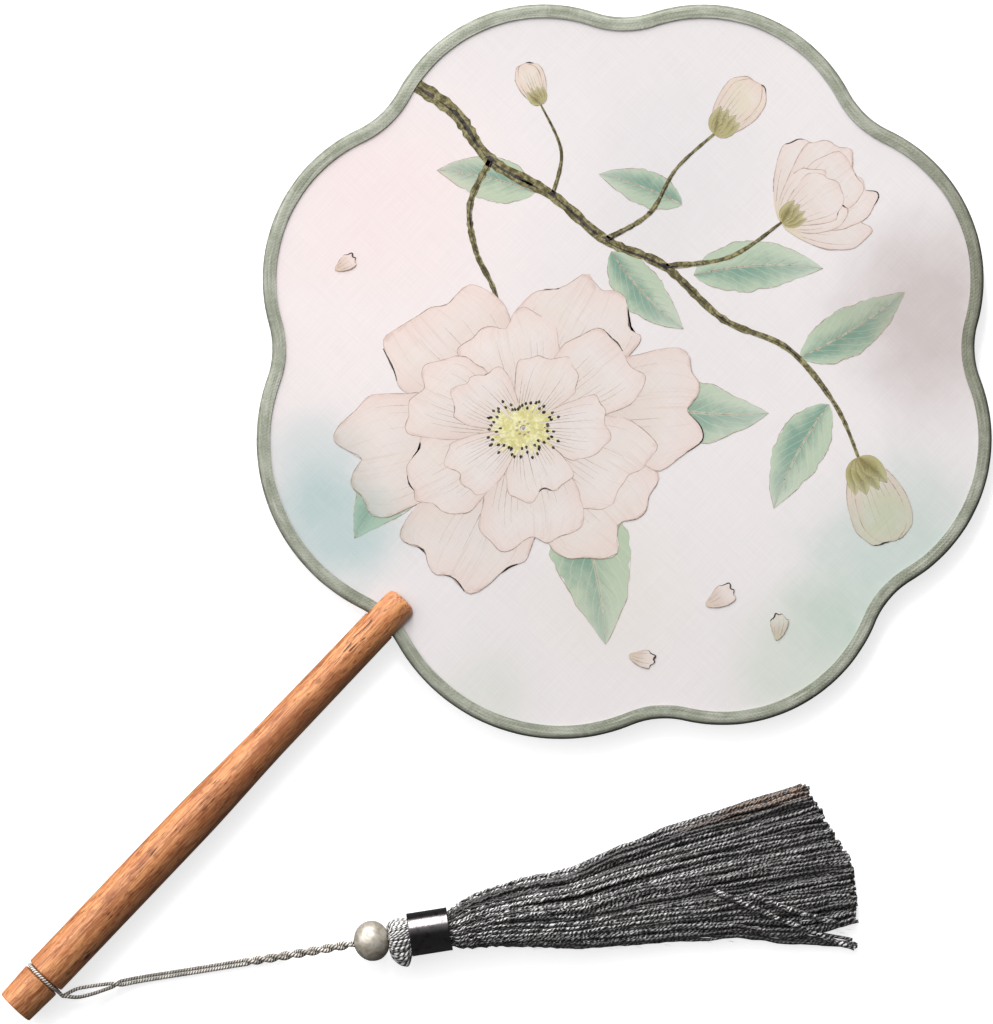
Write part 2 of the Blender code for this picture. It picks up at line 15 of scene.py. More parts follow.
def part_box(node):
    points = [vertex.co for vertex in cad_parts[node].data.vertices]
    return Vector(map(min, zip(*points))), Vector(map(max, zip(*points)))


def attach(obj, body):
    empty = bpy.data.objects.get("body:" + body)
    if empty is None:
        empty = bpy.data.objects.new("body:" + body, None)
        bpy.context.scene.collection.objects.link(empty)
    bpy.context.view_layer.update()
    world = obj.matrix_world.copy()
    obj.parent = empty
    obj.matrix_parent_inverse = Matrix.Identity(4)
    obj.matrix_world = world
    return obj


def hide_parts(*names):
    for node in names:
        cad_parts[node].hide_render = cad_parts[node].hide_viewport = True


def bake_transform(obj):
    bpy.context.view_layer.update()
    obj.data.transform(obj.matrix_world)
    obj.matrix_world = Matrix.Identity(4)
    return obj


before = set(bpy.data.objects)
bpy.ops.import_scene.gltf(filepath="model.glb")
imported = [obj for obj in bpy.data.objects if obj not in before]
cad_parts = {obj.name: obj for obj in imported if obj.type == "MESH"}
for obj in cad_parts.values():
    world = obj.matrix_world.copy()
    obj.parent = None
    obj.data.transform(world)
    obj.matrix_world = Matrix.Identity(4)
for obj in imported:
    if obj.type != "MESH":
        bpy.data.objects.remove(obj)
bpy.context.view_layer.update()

MM = 0.001
SEED = 7

# Sizes shared with the solids
CREST_RADIUS = 0.1293
LOBE_RISE = 0.0122
NOTCH_ROUND = 0.030
LOBES = 8
LOBE_BY_HANDLE_DEG = 49.4
RIM_HALF = 0.00194
RIBBON_WIDTH = 0.0046
RIBBON_THICKNESS = 0.00045
SILK_LOW = 0.00112
SILK_HIGH = 0.00137
WIRE_BEND = 0.0030
LEG_X = 0.00115
HANDLE_LENGTH = 0.192
HANDLE_RADIUS = 0.0073
GROOVE_FROM_BUTT = 0.0140
GROOVE_WIDTH = 0.0022
GROOVE_DEPTH = 0.0015
LEAF_IN_HANDLE = 0.0115
TANG_LENGTH = 0.035
KERF_HALF = 0.00209
TANG_BORE = 0.00245
STRAND_RADIUS = 0.0006
CORD_SPAN = 0.0992
CORD_ANGLE_DEG = 36.2
CORD_X = 0.00905
TASSEL_ANGLE_DEG = 37.4
TASSEL_HEIGHT = 0.0076
BEAD_START, BEAD_END = 0.0015, 0.0137
HEAD_START, HEAD_END = 0.0140, 0.0202
BAND_START, BAND_END = 0.0205, 0.0343
BAND_RADIUS = 0.0074
BEAD_RADIUS = 0.0070
HEAD_RADIUS = 0.0076
SKIRT_LENGTH = 0.1385

# Where the photograph was taken from
VIEW_ROLL_DEG = 46.39
VIEW_SCALE = 0.00034
VIEW_HEIGHT_PX = 1024
VIEW_X, VIEW_Y = 0.00233, 0.0230
LENS = 300
SENSOR = 36

BUTT_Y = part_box("handle")[0].y
GROOVE_Y = BUTT_Y + GROOVE_FROM_BUTT
AXIS_Z = HANDLE_RADIUS


def ramp(value, low, high):
    """How far a value is on its way from low to high, from 0 to 1."""
    return min(max((value - low) / (high - low), 0), 1)


def polar(radius, angle):
    return radius * cos(angle), radius * sin(angle)


# Leaf outline

def arc(centre, radius, start, sweep, steps):
    """Points on an arc in a plane, its far end left out."""
    angles = [start + sweep * i / steps for i in range(steps)]
    return [(centre[0] + radius * cos(a), centre[1] + radius * sin(a)) for a in angles]


def lobe_arcs():
    """Each lobe's arc as (centre, radius), from the handle round by +X."""
    corner = CREST_RADIUS - LOBE_RISE
    lobe_deg = (360 - 2 * LOBE_BY_HANDLE_DEG) / (LOBES - 2)
    arcs, turn = [], -pi / 2
    for i in range(LOBES):
        width = radians(LOBE_BY_HANDLE_DEG if i in (0, LOBES - 1) else lobe_deg)
        middle = turn + width / 2
        turn += width
        reach = (CREST_RADIUS ** 2 - corner ** 2) / (2 * (CREST_RADIUS - corner * cos(width / 2)))
        arcs.append((Vector(polar(reach, middle)), CREST_RADIUS - reach))
    return arcs


def notch_centre(one, other):
    """The centre of the rounding between two lobes."""
    (a, a_radius), (b, b_radius) = one, other
    r, s = a_radius + NOTCH_ROUND, b_radius + NOTCH_ROUND
    apart = (b - a).length
    along = (r * r - s * s + apart * apart) / (2 * apart)
    way = (b - a) / apart
    return a + way * along + Vector((way.y, -way.x)) * sqrt(r * r - along * along)


def angle_of(v):
    return atan2(v.y, v.x)


def turn_between(start, end, sign):
    return (end - start) * sign % tau * sign


def leaf_outline(inset, lobe_steps=36, notch_steps=12, first_turn=0):
    """The leaf's outline, inset by a distance, from the notch at the handle round by +X and back."""
    arcs = lobe_arcs()
    notches = [notch_centre(arcs[i - 1], arcs[i]) for i in range(LOBES)]
    points = []
    for i, (centre, radius) in enumerate(arcs):
        into, out_of = notches[i], notches[(i + 1) % LOBES]
        before = angle_of(arcs[i - 1][0] - into)
        turn = turn_between(before, angle_of(centre - into), -1)
        steps = notch_steps
        if i == 0:
            before += turn / 2 - first_turn
            turn = turn / 2 + first_turn
            steps = notch_steps // 2
        points += arc(into, NOTCH_ROUND + inset, before, turn, steps)
        start = angle_of(into - centre)
        turn = turn_between(start, angle_of(out_of - centre), 1)
        points += arc(centre, radius - inset, start, turn, lobe_steps)
    into = notches[0]
    before = angle_of(arcs[-1][0] - into)
    half = turn_between(before, pi / 2, -1) + first_turn
    points += arc(into, NOTCH_ROUND + inset, before, half, notch_steps // 2)
    if first_turn:
        points += arc(into, NOTCH_ROUND + inset, before + half, 0, 1)
    return points


NOTCH_DEPTH = -leaf_outline(0)[0][1]
LEAF_Y = BUTT_Y + HANDLE_LENGTH - LEAF_IN_HANDLE + NOTCH_DEPTH
RIBBON_TURN = asin((LEG_X + WIRE_BEND) / (NOTCH_ROUND + RIM_HALF))


# Places on the leaf and along the cord and tassel

def picture_way(right, up):
    """A level direction given as seen in the picture."""
    s, c = sin(radians(VIEW_ROLL_DEG)), cos(radians(VIEW_ROLL_DEG))
    return Vector((right * s - up * c, right * c + up * s, 0))


def picture_spot(right_mm, up_mm, z=0.0):
    """A spot of the leaf given as seen in the picture, right and up from the leaf's middle."""
    return Vector((0, LEAF_Y, z)) + picture_way(right_mm, up_mm) * MM


def ways(angle_deg):
    """The directions along and across a line that lies on the table."""
    a = radians(angle_deg)
    return Vector((sin(a), cos(a), 0)), Vector((cos(a), -sin(a), 0))


CORD_WAY, CORD_SIDE = ways(CORD_ANGLE_DEG)
TASSEL_WAY, TASSEL_SIDE = ways(TASSEL_ANGLE_DEG)
PIVOT = Vector((CORD_X, GROOVE_Y, AXIS_Z))
BEND = Vector((CORD_X, GROOVE_Y, TASSEL_HEIGHT)) + CORD_WAY * CORD_SPAN


def tassel_spot(along, side, up):
    return BEND + TASSEL_WAY * along + TASSEL_SIDE * side + Vector((0, 0, up))


# Node wiring

class Wire:
    """The output of a node. Arithmetic on it adds Math nodes to its tree."""

    def __init__(self, socket):
        self.socket, self.tree = socket, socket.id_data

    def maths(self, operation, *others, clamp=False):
        inputs = dict(enumerate((self, *others)))
        return add(self.tree, "ShaderNodeMath", inputs, operation=operation, use_clamp=clamp)

    def times(self, factor, plus):
        return self.maths("MULTIPLY_ADD", factor, plus)

    def __add__(self, other):
        return self.maths("ADD", other)

    def __sub__(self, other):
        return self.maths("SUBTRACT", other)

    def __mul__(self, other):
        return self.maths("MULTIPLY", other)

    def __truediv__(self, other):
        return self.maths("DIVIDE", other)


def fill(node, inputs):
    """Sets a node's inputs to values, or links them to wires."""
    for key, value in (inputs or {}).items():
        if isinstance(value, Wire):
            value.tree.links.new(value.socket, node.inputs[key])
        else:
            node.inputs[key].default_value = value
    return [Wire(socket) for socket in node.outputs]


def add(tree, kind, inputs=None, output=0, **settings):
    """One output of a new node."""
    node = tree.nodes.new(kind)
    for key, value in settings.items():
        setattr(node, key, value)
    fill(node, inputs)
    return Wire(node.outputs[output])


def mix(amount, low, high, mode="MIX"):
    """A blend of two colours, each a wire or red, green and blue."""
    tree = next(value.tree for value in (amount, low, high) if isinstance(value, Wire))
    low, high = (c if isinstance(c, Wire) else (*c, 1) for c in (low, high))
    return add(tree, "ShaderNodeMix", {0: amount, 6: low, 7: high}, 2, data_type="RGBA", blend_type=mode)


def between(value, low, high, to_low=0.0, to_high=1.0):
    """A value's smooth rise from to_low to to_high as it passes from low to high."""
    inputs = {0: value, 1: low, 2: high, 3: to_low, 4: to_high}
    return add(value.tree, "ShaderNodeMapRange", inputs, interpolation_type="SMOOTHSTEP")


def speckle(spot, scale, detail=3.0, rough=0.55, warp=0.0):
    inputs = {"Vector": spot, "Scale": scale, "Detail": detail, "Roughness": rough, "Distortion": warp}
    return add(spot.tree, "ShaderNodeTexNoise", inputs)


def streaks(spot, scale, detail=3.0, rough=0.55, warp=0.0, start=(0, 0, 0)):
    """Speckle drawn out by a scale of its own along each axis."""
    inputs = {"Vector": spot, "Scale": scale, "Location": start}
    return speckle(add(spot.tree, "ShaderNodeMapping", inputs), 1.0, detail, rough, warp)


def parts(spot):
    return [add(spot.tree, "ShaderNodeSeparateXYZ", {0: spot}, axis) for axis in range(3)]


def attribute(tree, name, output="Fac"):
    return add(tree, "ShaderNodeAttribute", None, output, attribute_name=name)


SOCKET_KINDS = {"Vector": "Vector", "Middle": "Vector", "Color": "Color", "Geometry": "Geometry",
                "Guides": "Geometry", "Loop": "Geometry", "Yarn": "Material", "Sides": "Int",
                "Loops": "Int", "Seed": "Int"}


def new_group(name, build, inputs, outputs, kind="ShaderNodeTree"):
    """A node group whose outputs are what build makes of its inputs. A socket's kind goes by its label."""
    group = bpy.data.node_groups.new(name, kind)
    for way, labels in (("INPUT", inputs), ("OUTPUT", outputs)):
        for label in labels:
            socket_type = "NodeSocket" + SOCKET_KINDS.get(label, "Float")
            group.interface.new_socket(label, in_out=way, socket_type=socket_type)
    ins, out = group.nodes.new("NodeGroupInput"), group.nodes.new("NodeGroupOutput")
    fill(out, dict(enumerate(build(*(Wire(ins.outputs[label]) for label in inputs)))))
    return group


def use(tree, group, **inputs):
    """The outputs of a group, its inputs given by name."""
    node = tree.nodes.new("ShaderNodeGroup")
    node.node_tree = group
    return fill(node, inputs)


def weave(spot, threads, unevenness):
    """Plain weave: two crossing sets of threads that pass over and under each other, a little uneven."""
    shift = speckle(spot, 90.0, 2.0) * unevenness
    x, y, _ = parts(spot)
    warp, weft = [(axis * (threads * pi) + shift * 20.0).maths("SINE") for axis in (x, y)]
    slub = streaks(spot, (2600, 60, 1), 2.0) + streaks(spot, (60, 2600, 1), 2.0)
    return (warp * weft).times(0.5, 0.5), slub * 0.5


def wash(spot, middle, reach, raggedness):
    """A pool of thin colour with a ragged edge, round a point of the leaf."""
    away = add(spot.tree, "ShaderNodeVectorMath", {0: spot, 1: middle}, "Value", operation="DISTANCE")
    swell = (speckle(spot, 26.0, 5.0, 0.6, 0.4) - 0.5) * raggedness
    amount = between(away / reach + swell, 1.0, 0.15)
    return [amount.maths("MULTIPLY", speckle(spot, 160.0, 3.0).times(0.35, 0.82), clamp=True)]


def grain(spot):
    """Wood grain along Y: broad streaks, fine fibres and short dark pores."""
    broad = streaks(spot, (420, 17, 420), 4.0, 0.6, 0.8)
    fibres = streaks(spot, (2300, 120, 2300), 3.0, 0.65)
    dashes = streaks(spot, (1500, 190, 1500), 1.0, 0.4, start=(3, 5, 7))
    return broad, fibres, between(streaks(spot, (150, 30, 150), 1.0).times(0.5, dashes), 0.93, 0.99)


def twist(turns, wander):
    """The ridges of a twisted yarn, from the place round it and along it that its mesh carries."""
    tree = turns.tree
    x, y, _ = parts(attribute(tree, "round", "Vector"))
    across, up = x * x - y * y, x * y * 2.0
    spot = add(tree, "ShaderNodeTexCoord", output="Object")
    turn = attribute(tree, "along").times(turns * (2 * tau), attribute(tree, "tint") * 40.0)
    turn = speckle(spot, 340.0, 2.0).times(wander, turn)
    wave = across * turn.maths("SINE") + up * turn.maths("COSINE")
    return wave.times(0.5, 0.5), speckle(spot, 2600.0, 2.0)


WEAVE = new_group("plain_weave", weave, ("Vector", "Threads", "Unevenness"), ("Height", "Slub"))
WASH = new_group("colour_wash", wash, ("Vector", "Middle", "Reach", "Raggedness"), ("Amount",))
GRAIN = new_group("wood_grain", grain, ("Vector",), ("Streaks", "Fibres", "Pores"))
TWIST = new_group("yarn_twist", twist, ("Turns", "Wander"), ("Ridge", "Fuzz"))


class Surface:
    """A new material with constants on its shader's own sockets, and its coordinates as wires."""

    def __init__(self, name, **constants):
        self.material = bpy.data.materials.new(name)
        self.material.use_nodes = True
        self.tree = self.material.node_tree
        self.shader = self.tree.nodes["Principled BSDF"]
        self.set(**constants)
        coords = self.tree.nodes.new("ShaderNodeTexCoord")
        self.spot, self.uv = Wire(coords.outputs["Object"]), Wire(coords.outputs["UV"])

    def set(self, **inputs):
        fill(self.shader, {key.replace("_", " "): value for key, value in inputs.items()})

    def finish(self, colour, height, depth, strength=1.0, **others):
        """The material with its colour, its bump and other inputs set."""
        bump = {"Height": height, "Distance": depth, "Strength": strength}
        self.set(Base_Color=colour, Normal=add(self.tree, "ShaderNodeBump", bump), **others)
        return self.material


# Materials

SILK_GLOSS = {"Roughness": 0.6, "Specular_IOR_Level": 0.12}
# Pools of colour: the place and the reach in mm as seen in the picture, the tint and how strong it is
WASHES = (
    ((96, -66), 50, (0.64, 0.81, 0.74), 0.75), ((64, -98), 40, (0.70, 0.84, 0.72), 0.65),
    ((-96, -54), 30, (0.55, 0.78, 0.76), 0.75), ((-104, -30), 24, (0.66, 0.83, 0.83), 0.6),
    ((-46, -112), 30, (0.80, 0.88, 0.80), 0.6), ((-84, 60), 52, (1.0, 0.94, 0.94), 0.8),
    ((14, 66), 44, (0.90, 0.925, 0.93), 0.45), ((-4, -78), 40, (0.97, 0.965, 0.92), 0.7),
    # The last pool is painted shade: a grey darkening over the right of the leaf, where the light falls off.
    ((104, 18), 46, (0.74, 0.70, 0.685), 0.95),
)


def wood_material():
    """Reddish orange-brown wood under a thin satin varnish."""
    skin = Surface("turned_wood", Coat_Weight=0.20, Coat_Roughness=0.34, Specular_IOR_Level=0.35)
    broad, fibres, pores = use(skin.tree, GRAIN, Vector=skin.spot)
    colour = mix(between(broad, 0.34, 0.66), (0.270, 0.078, 0.027), (0.585, 0.225, 0.082))
    colour = mix(between(fibres, 0.42, 0.62) * 0.7, colour, (0.780, 0.390, 0.165))
    flecks = streaks(skin.spot, (900, 260, 900), 3.0, 0.7)
    colour = mix(between(flecks, 0.50, 0.66, 0.0, 0.62), colour, (0.190, 0.046, 0.014))
    mellow = streaks(skin.spot, (110, 22, 110))
    colour = mix(between(mellow, 0.42, 0.66) * 0.48, colour, (0.200, 0.050, 0.016))
    colour = mix(pores * 0.85, colour, (0.030, 0.008, 0.003))
    rough = between(fibres, 0.2, 0.8, 0.58, 0.42)
    return skin.finish(colour, fibres * 0.4 - pores, 0.00005, Roughness=rough)


def pool(spot, place_mm, reach, raggedness, z=AXIS_Z + SILK_HIGH):
    middle = picture_spot(*place_mm, z)
    return use(spot.tree, WASH, Vector=spot, Middle=middle, Reach=reach, Raggedness=raggedness)[0]


def ground(spot):
    """The silk under the paint: off-white, warmer to one side, with pools of thin colour and a pool of
    painted shade to the right.
    """
    broad = speckle(spot, 9.0, 3.0, 0.5)
    colour = mix(between(broad, 0.35, 0.65), (0.655, 0.618, 0.620), (0.680, 0.641, 0.645))
    colour = mix(pool(spot, (-95, 45), 115 * MM, 0.3) * 0.75, colour, (0.765, 0.688, 0.680))
    for place_mm, reach_mm, tint, strength in WASHES:
        colour = mix(pool(spot, place_mm, reach_mm * MM, 0.8) * strength, colour, tint, "MULTIPLY")
    return [colour]


GROUND = new_group("silk_ground", ground, ("Vector",), ("Color",))


def painted_ground(skin):
    return use(skin.tree, GROUND, Vector=skin.spot)[0]


def silk_finish(skin, colour, slub_share=0.035):
    """Weave and slub on silk, bare or painted."""
    height, slub = use(skin.tree, WEAVE, Vector=skin.spot, Threads=2400.0, Unevenness=0.25)
    tone = between(slub, 0.35, 0.65, 1.0 - slub_share, 1.0 + slub_share / 2)
    grey = add(skin.tree, "ShaderNodeCombineColor", {0: tone, 1: tone, 2: tone})
    return skin.finish(mix(1.0, colour, grey, "MULTIPLY"), slub.times(1.5, height), 0.00002, 0.35)


def silk_material(name, painted):
    skin = Surface(name, Sheen_Weight=0.05, Sheen_Roughness=0.4, **SILK_GLOSS)
    if painted:
        return silk_finish(skin, painted_ground(skin))
    broad = speckle(skin.spot, 9.0, 3.0, 0.5)
    return silk_finish(skin, mix(between(broad, 0.35, 0.65), (0.68, 0.64, 0.635), (0.73, 0.68, 0.675)))


def petal_material(name, body, rim, foot):
    """Thin paint that the silk shows through: pale, deeper to the rim, greenish at the foot."""
    skin = Surface(name, Sheen_Weight=0.04, **SILK_GLOSS)
    u, v, _ = parts(skin.uv)
    reach = u.times(2.0, -1.0).maths("ABSOLUTE").maths("MAXIMUM", v.times(2.0, -1.0).maths("ABSOLUTE"))
    cloud = speckle(skin.spot, 75.0, 4.0, 0.6, 0.3)
    glaze = mix(between(cloud, 0.34, 0.66), body, [c ** 0.45 for c in body])
    glaze = mix(between(cloud.times(0.7, reach), 0.85, 1.45), glaze, rim)
    glaze = mix(between(cloud.times(0.35, v), 0.52, 0.12) * 0.85, glaze, foot)
    under = attribute(skin.tree, "shade") * between(v, 0.95, 0.25, 0.3, 3.0)
    glaze = mix(under, glaze, (0.80, 0.68, 0.58))
    streak = streaks(skin.uv, (26, 1.6, 1), 3.0, 0.6, 0.4)
    glaze = mix(between(streak, 0.52, 0.72) * 0.30, glaze, (0.80, 0.66, 0.56))
    edge = between(reach, 0.93, 0.99) * between(speckle(skin.spot, 260.0, 2.0), 0.40, 0.62)
    glaze = mix(edge * 0.5, glaze, (0.78, 0.58, 0.50))
    return silk_finish(skin, mix(1.0, painted_ground(skin), glaze, "MULTIPLY"), 0.04)


def leaf_paint_material(name, light, dark, vein):
    """Leaf paint over silk: deep beside the midrib on one half, thin to the edge, with slanting veins."""
    skin = Surface(name, Sheen_Weight=0.04, **SILK_GLOSS)
    u, v, _ = parts(skin.uv)
    side = (u - 0.5).maths("ABSOLUTE")
    cloud = speckle(skin.spot, 85.0, 5.0, 0.65, 0.4)
    deep = cloud.times(0.9, side) - between(u, 0.46, 0.54, -0.08, 0.12)
    glaze = mix(between(deep, 0.86, 0.36), light, dark)
    glaze = mix(between(v, 0.4, 1.1) * 0.6, glaze, [c ** 0.5 for c in light])
    lines = between((v * 60.0 - side * 40.0).maths("SINE"), 0.86, 0.99) * 0.30
    glaze = mix(lines.maths("MAXIMUM", between(side, 0.035, 0.012) * 0.5), glaze, vein)
    return silk_finish(skin, mix(1.0, painted_ground(skin), glaze, "MULTIPLY"), 0.04)


def stroke_material(name, thick, thin):
    """Brush strokes of ink or bark colour, drier where the brush ran out."""
    skin = Surface(name, Roughness=0.6, Specular_IOR_Level=0.15)
    dry = between(speckle(skin.spot, 520.0, 4.0, 0.7), 0.40, 0.66)
    return silk_finish(skin, mix(dry, thick, thin), 0.06)


def ribbon_material():
    """Sage-grey woven ribbon: mottled, with faint lines along it, and painted shade: darker along its outer
    fold and over its right side.
    """
    skin = Surface("sage_ribbon", Sheen_Weight=0.08, Sheen_Roughness=0.5)
    cloud = speckle(skin.spot, 95.0, 5.0, 0.7, 0.5)
    colour = mix(between(cloud, 0.36, 0.64), (0.225, 0.240, 0.180), (0.335, 0.350, 0.285))
    lines = streaks(skin.uv, (75, 1500, 1), 3.0, 0.6, 0.2)
    colour = mix(between(lines, 0.50, 0.72, 0.0, 0.75), colour, (0.455, 0.465, 0.395))
    colour = mix(between(lines, 0.48, 0.30, 0.0, 0.70), colour, (0.160, 0.175, 0.125))
    cross = streaks(skin.uv, (1500, 220, 1), 2.0)
    colour = mix(between(cross, 0.52, 0.72, 0.0, 0.35), colour, (0.450, 0.460, 0.395))
    threads = use(skin.tree, WEAVE, Vector=skin.uv, Threads=1500.0, Unevenness=0.5)[0]
    # Painted shade: a greyer pool over the rim to the right, where the light falls off.
    colour = mix(pool(skin.spot, (122, 26), 85 * MM, 0.5, AXIS_Z), colour, (0.68, 0.66, 0.62), "MULTIPLY")
    # Painted shade along the outer fold: ragged, and full on the side turned away from the light.
    x, y, _ = parts(skin.spot)
    way = picture_way(0.7, -0.7)
    light_fade = between(x * way.x + (y - LEAF_Y) * way.y, -0.06, 0.07)
    outer = between(parts(skin.uv)[1].maths("ABSOLUTE"), 0.0024, 0.0012)
    ragged = between(streaks(skin.uv, (260, 900, 1), 3.0, 0.6), 0.38, 0.66, 0.2, 0.75)
    colour = mix(outer * ragged.maths("MAXIMUM", light_fade), colour, (0.040, 0.042, 0.027))
    height = threads.times(0.5, lines * 1.6)
    return skin.finish(colour, height, 0.00014, 0.8, Roughness=between(cloud, 0.3, 0.7, 0.72, 0.86))


def yarn_material(name, groove, ridge, glint, turns, rough, lift=0.0, light_fade=None, wander=0.0):
    """Twisted yarn: bright ridges and grooves darkened with painted shade, painted glints that differ with a
    tint for each thread, and a warm tone where marked.
    """
    skin = Surface(name, Sheen_Weight=0.15, Sheen_Roughness=0.35)
    ridges, fuzz = use(skin.tree, TWIST, Turns=turns, Wander=wander)
    # Painted shade: the grooves of the twist take the dark colour, the ridges the light one.
    high = between(ridges, 0.35 - lift, 0.85 - lift)
    colour = mix(high, groove, ridge)
    # Painted glints: sparse bright specks on the ridges, fading along the thread over the span given.
    bright = fuzz.times(0.35, attribute(skin.tree, "tint") * 0.22)
    bright = between(speckle(skin.spot, 330.0, 3.0, 0.6).times(0.45, bright), 0.48, 0.61)
    if light_fade:
        bright *= between(attribute(skin.tree, "along"), *light_fade, 1.0, 0.35)
    colour = mix(bright * high, colour, glint)
    # Tan threads, with the same painted shade in their grooves.
    tan = mix(high, (0.030, 0.016, 0.010), (0.36, 0.235, 0.165))
    colour = mix(attribute(skin.tree, "warm"), colour, tan)
    rough = between(fuzz, 0.3, 0.7, rough - 0.12, rough + 0.12)
    return skin.finish(colour, fuzz.times(0.35, ridges), 0.00012, Roughness=rough)


def pearl_material():
    """Champagne pearl, silvery above, with painted shade: olive-brown low on its side and on the side away
    from the window.
    """
    skin = Surface("champagne_pearl", Coat_Weight=0.7, Coat_Roughness=0.12)
    cloud = speckle(skin.spot, 260.0, 4.0, 0.6, 0.8)
    colour = mix(between(cloud, 0.36, 0.64), (0.37, 0.325, 0.25), (0.62, 0.575, 0.50))
    x, y, z = parts(skin.spot)
    # Painted shade: a dark olive-brown that grows lower down and towards the side away from the window.
    away = picture_way(0.45, -0.9) * 0.6
    level = (BEND + TASSEL_WAY * (BEAD_START + BEAD_END) / 2).dot(Vector((away.x, away.y, -1)))
    low = cloud.times(0.004, x * away.x + y * away.y - z - (level + 0.002))
    colour = mix(between(low, -0.0045, 0.0035, 0, 0.9), colour, (0.125, 0.095, 0.055))
    return skin.finish(colour, cloud, 0.00010, Roughness=between(cloud, 0.3, 0.7, 0.26, 0.42),
                       Metallic=between(cloud, 0.3, 0.7, 0.25, 0.5))


def metal_material(name, colour, rough, lines):
    """Plated metal with faint scratches round it and a little tarnish."""
    skin = Surface(name, Metallic=1.0)
    scratch = streaks(skin.uv, lines, 3.0, 0.7)
    tarnish = speckle(skin.spot, 420.0, 4.0, 0.6)
    colour = mix(between(tarnish, 0.45, 0.75), colour, [c * 0.55 for c in colour])
    rough = between(scratch, 0.3, 0.7, rough - 0.04, rough + 0.05)
    return skin.finish(colour, scratch, 0.00001, 0.3, Roughness=rough)


# Meshes

def hold(name, data):
    """A new object in the scene."""
    made = bpy.data.objects.new(name, data)
    bpy.context.scene.collection.objects.link(made)
    return made


def put(name, mesh, body, replaced=()):
    """Links a mesh as a piece that rides on a body and stands for CAD nodes."""
    piece = hold(name, mesh)
    if body:
        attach(piece, body)
    if replaced:
        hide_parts(*replaced)
    return piece


def drawn(name, points, edges=(), faces=()):
    mesh = bpy.data.meshes.new(name)
    mesh.from_pydata(points, edges, faces)
    return mesh


def to_mesh(name, bm, material=None, smooth_deg=None):
    bmesh.ops.recalc_face_normals(bm, faces=bm.faces)
    mesh = bpy.data.meshes.new(name)
    bm.to_mesh(mesh)
    bm.free()
    mesh.shade_smooth()
    if smooth_deg:
        mesh.set_sharp_from_angle(angle=radians(smooth_deg))
    if material:
        mesh.materials.append(material)
    return mesh


def evaluated(holder, name):
    """The holder's mesh with its modifiers applied, and the holder removed."""
    bpy.context.view_layer.update()
    depsgraph = bpy.context.evaluated_depsgraph_get()
    mesh = bpy.data.meshes.new_from_object(holder.evaluated_get(depsgraph), depsgraph=depsgraph)
    bpy.data.objects.remove(holder, do_unlink=True)
    mesh.name = name
    return mesh


def dress(mesh, material):
    mesh.materials.clear()
    mesh.materials.append(material)
    return mesh


def turned(profile, segments, closed=False):
    """A bmesh turned about Y from (along, radius) points, with a map of turns and length."""
    bm = bmesh.new()
    uv = bm.loops.layers.uv.new("UVMap")
    angles = [tau * i / segments for i in range(segments)]
    rings, reach = [], [0.0]
    for along, radius in profile:
        spots = [(radius * cos(a), along, radius * sin(a)) for a in angles]
        rings.append([bm.verts.new(spot) for spot in (spots if radius >= 1e-7 else [(0, along, 0)])])
    for (a, r), (b, s) in zip(profile, profile[1:] + profile[:1]):
        reach.append(reach[-1] + hypot(b - a, s - r))
    for k in range(len(profile) if closed else len(profile) - 1):
        one, other = rings[k], rings[(k + 1) % len(rings)]
        for i in range(segments):
            corners = {}
            around = ((one, i, k), (one, i + 1, k), (other, i + 1, k + 1), (other, i, k + 1))
            for ring, turn, length in around:
                corners.setdefault(ring[turn % len(ring)], (turn / segments, reach[length]))
            face = bm.faces.new(corners)
            for loop in face.loops:
                loop[uv].uv = corners[loop.vert]
    return bm


def lay_on_tassel(bm):
    """Turns a bmesh made along Y to the tassel's line, and puts it there."""
    for vert in bm.verts:
        x, y, z = vert.co
        vert.co = tassel_spot(y, x, z)


# Yarn, made with geometry nodes

def store(geometry, name, value, kind="FLOAT", domain="POINT"):
    inputs = {"Geometry": geometry, "Name": name, "Value": value}
    return add(geometry.tree, "GeometryNodeStoreNamedAttribute", inputs, data_type=kind, domain=domain)


def sweep(curves, radius, sides, yarn, scale=1.0):
    """Runs yarn along curves. It carries its length and its place round."""
    tree = curves.tree
    curves = store(curves, "along", add(tree, "GeometryNodeSplineParameter", output="Length"))
    ring = add(tree, "GeometryNodeCurvePrimitiveCircle", {"Resolution": sides, "Radius": radius})
    spot = add(tree, "GeometryNodeInputPosition")
    unit = add(tree, "ShaderNodeVectorMath", {0: spot}, operation="NORMALIZE")
    ring = store(ring, "round", unit, "FLOAT_VECTOR")
    inputs = {"Curve": curves, "Profile Curve": ring, "Scale": scale, "Fill Caps": True}
    made = add(tree, "GeometryNodeSetShadeSmooth", {0: add(tree, "GeometryNodeCurveToMesh", inputs)})
    made = add(tree, "GeometryNodeRealizeInstances", {0: made})
    return [add(tree, "GeometryNodeSetMaterial", {"Geometry": made, "Material": yarn})]


def yarn_along(guides, radius, sides, yarn):
    """Turns guide lines into yarn: a round tube along each, as thick as the line's girth says."""
    curves = add(guides.tree, "GeometryNodeMeshToCurve", {"Mesh": guides})
    girth = add(guides.tree, "GeometryNodeInputNamedAttribute", {"Name": "girth"}, data_type="FLOAT")
    return sweep(curves, radius, sides, yarn, girth)


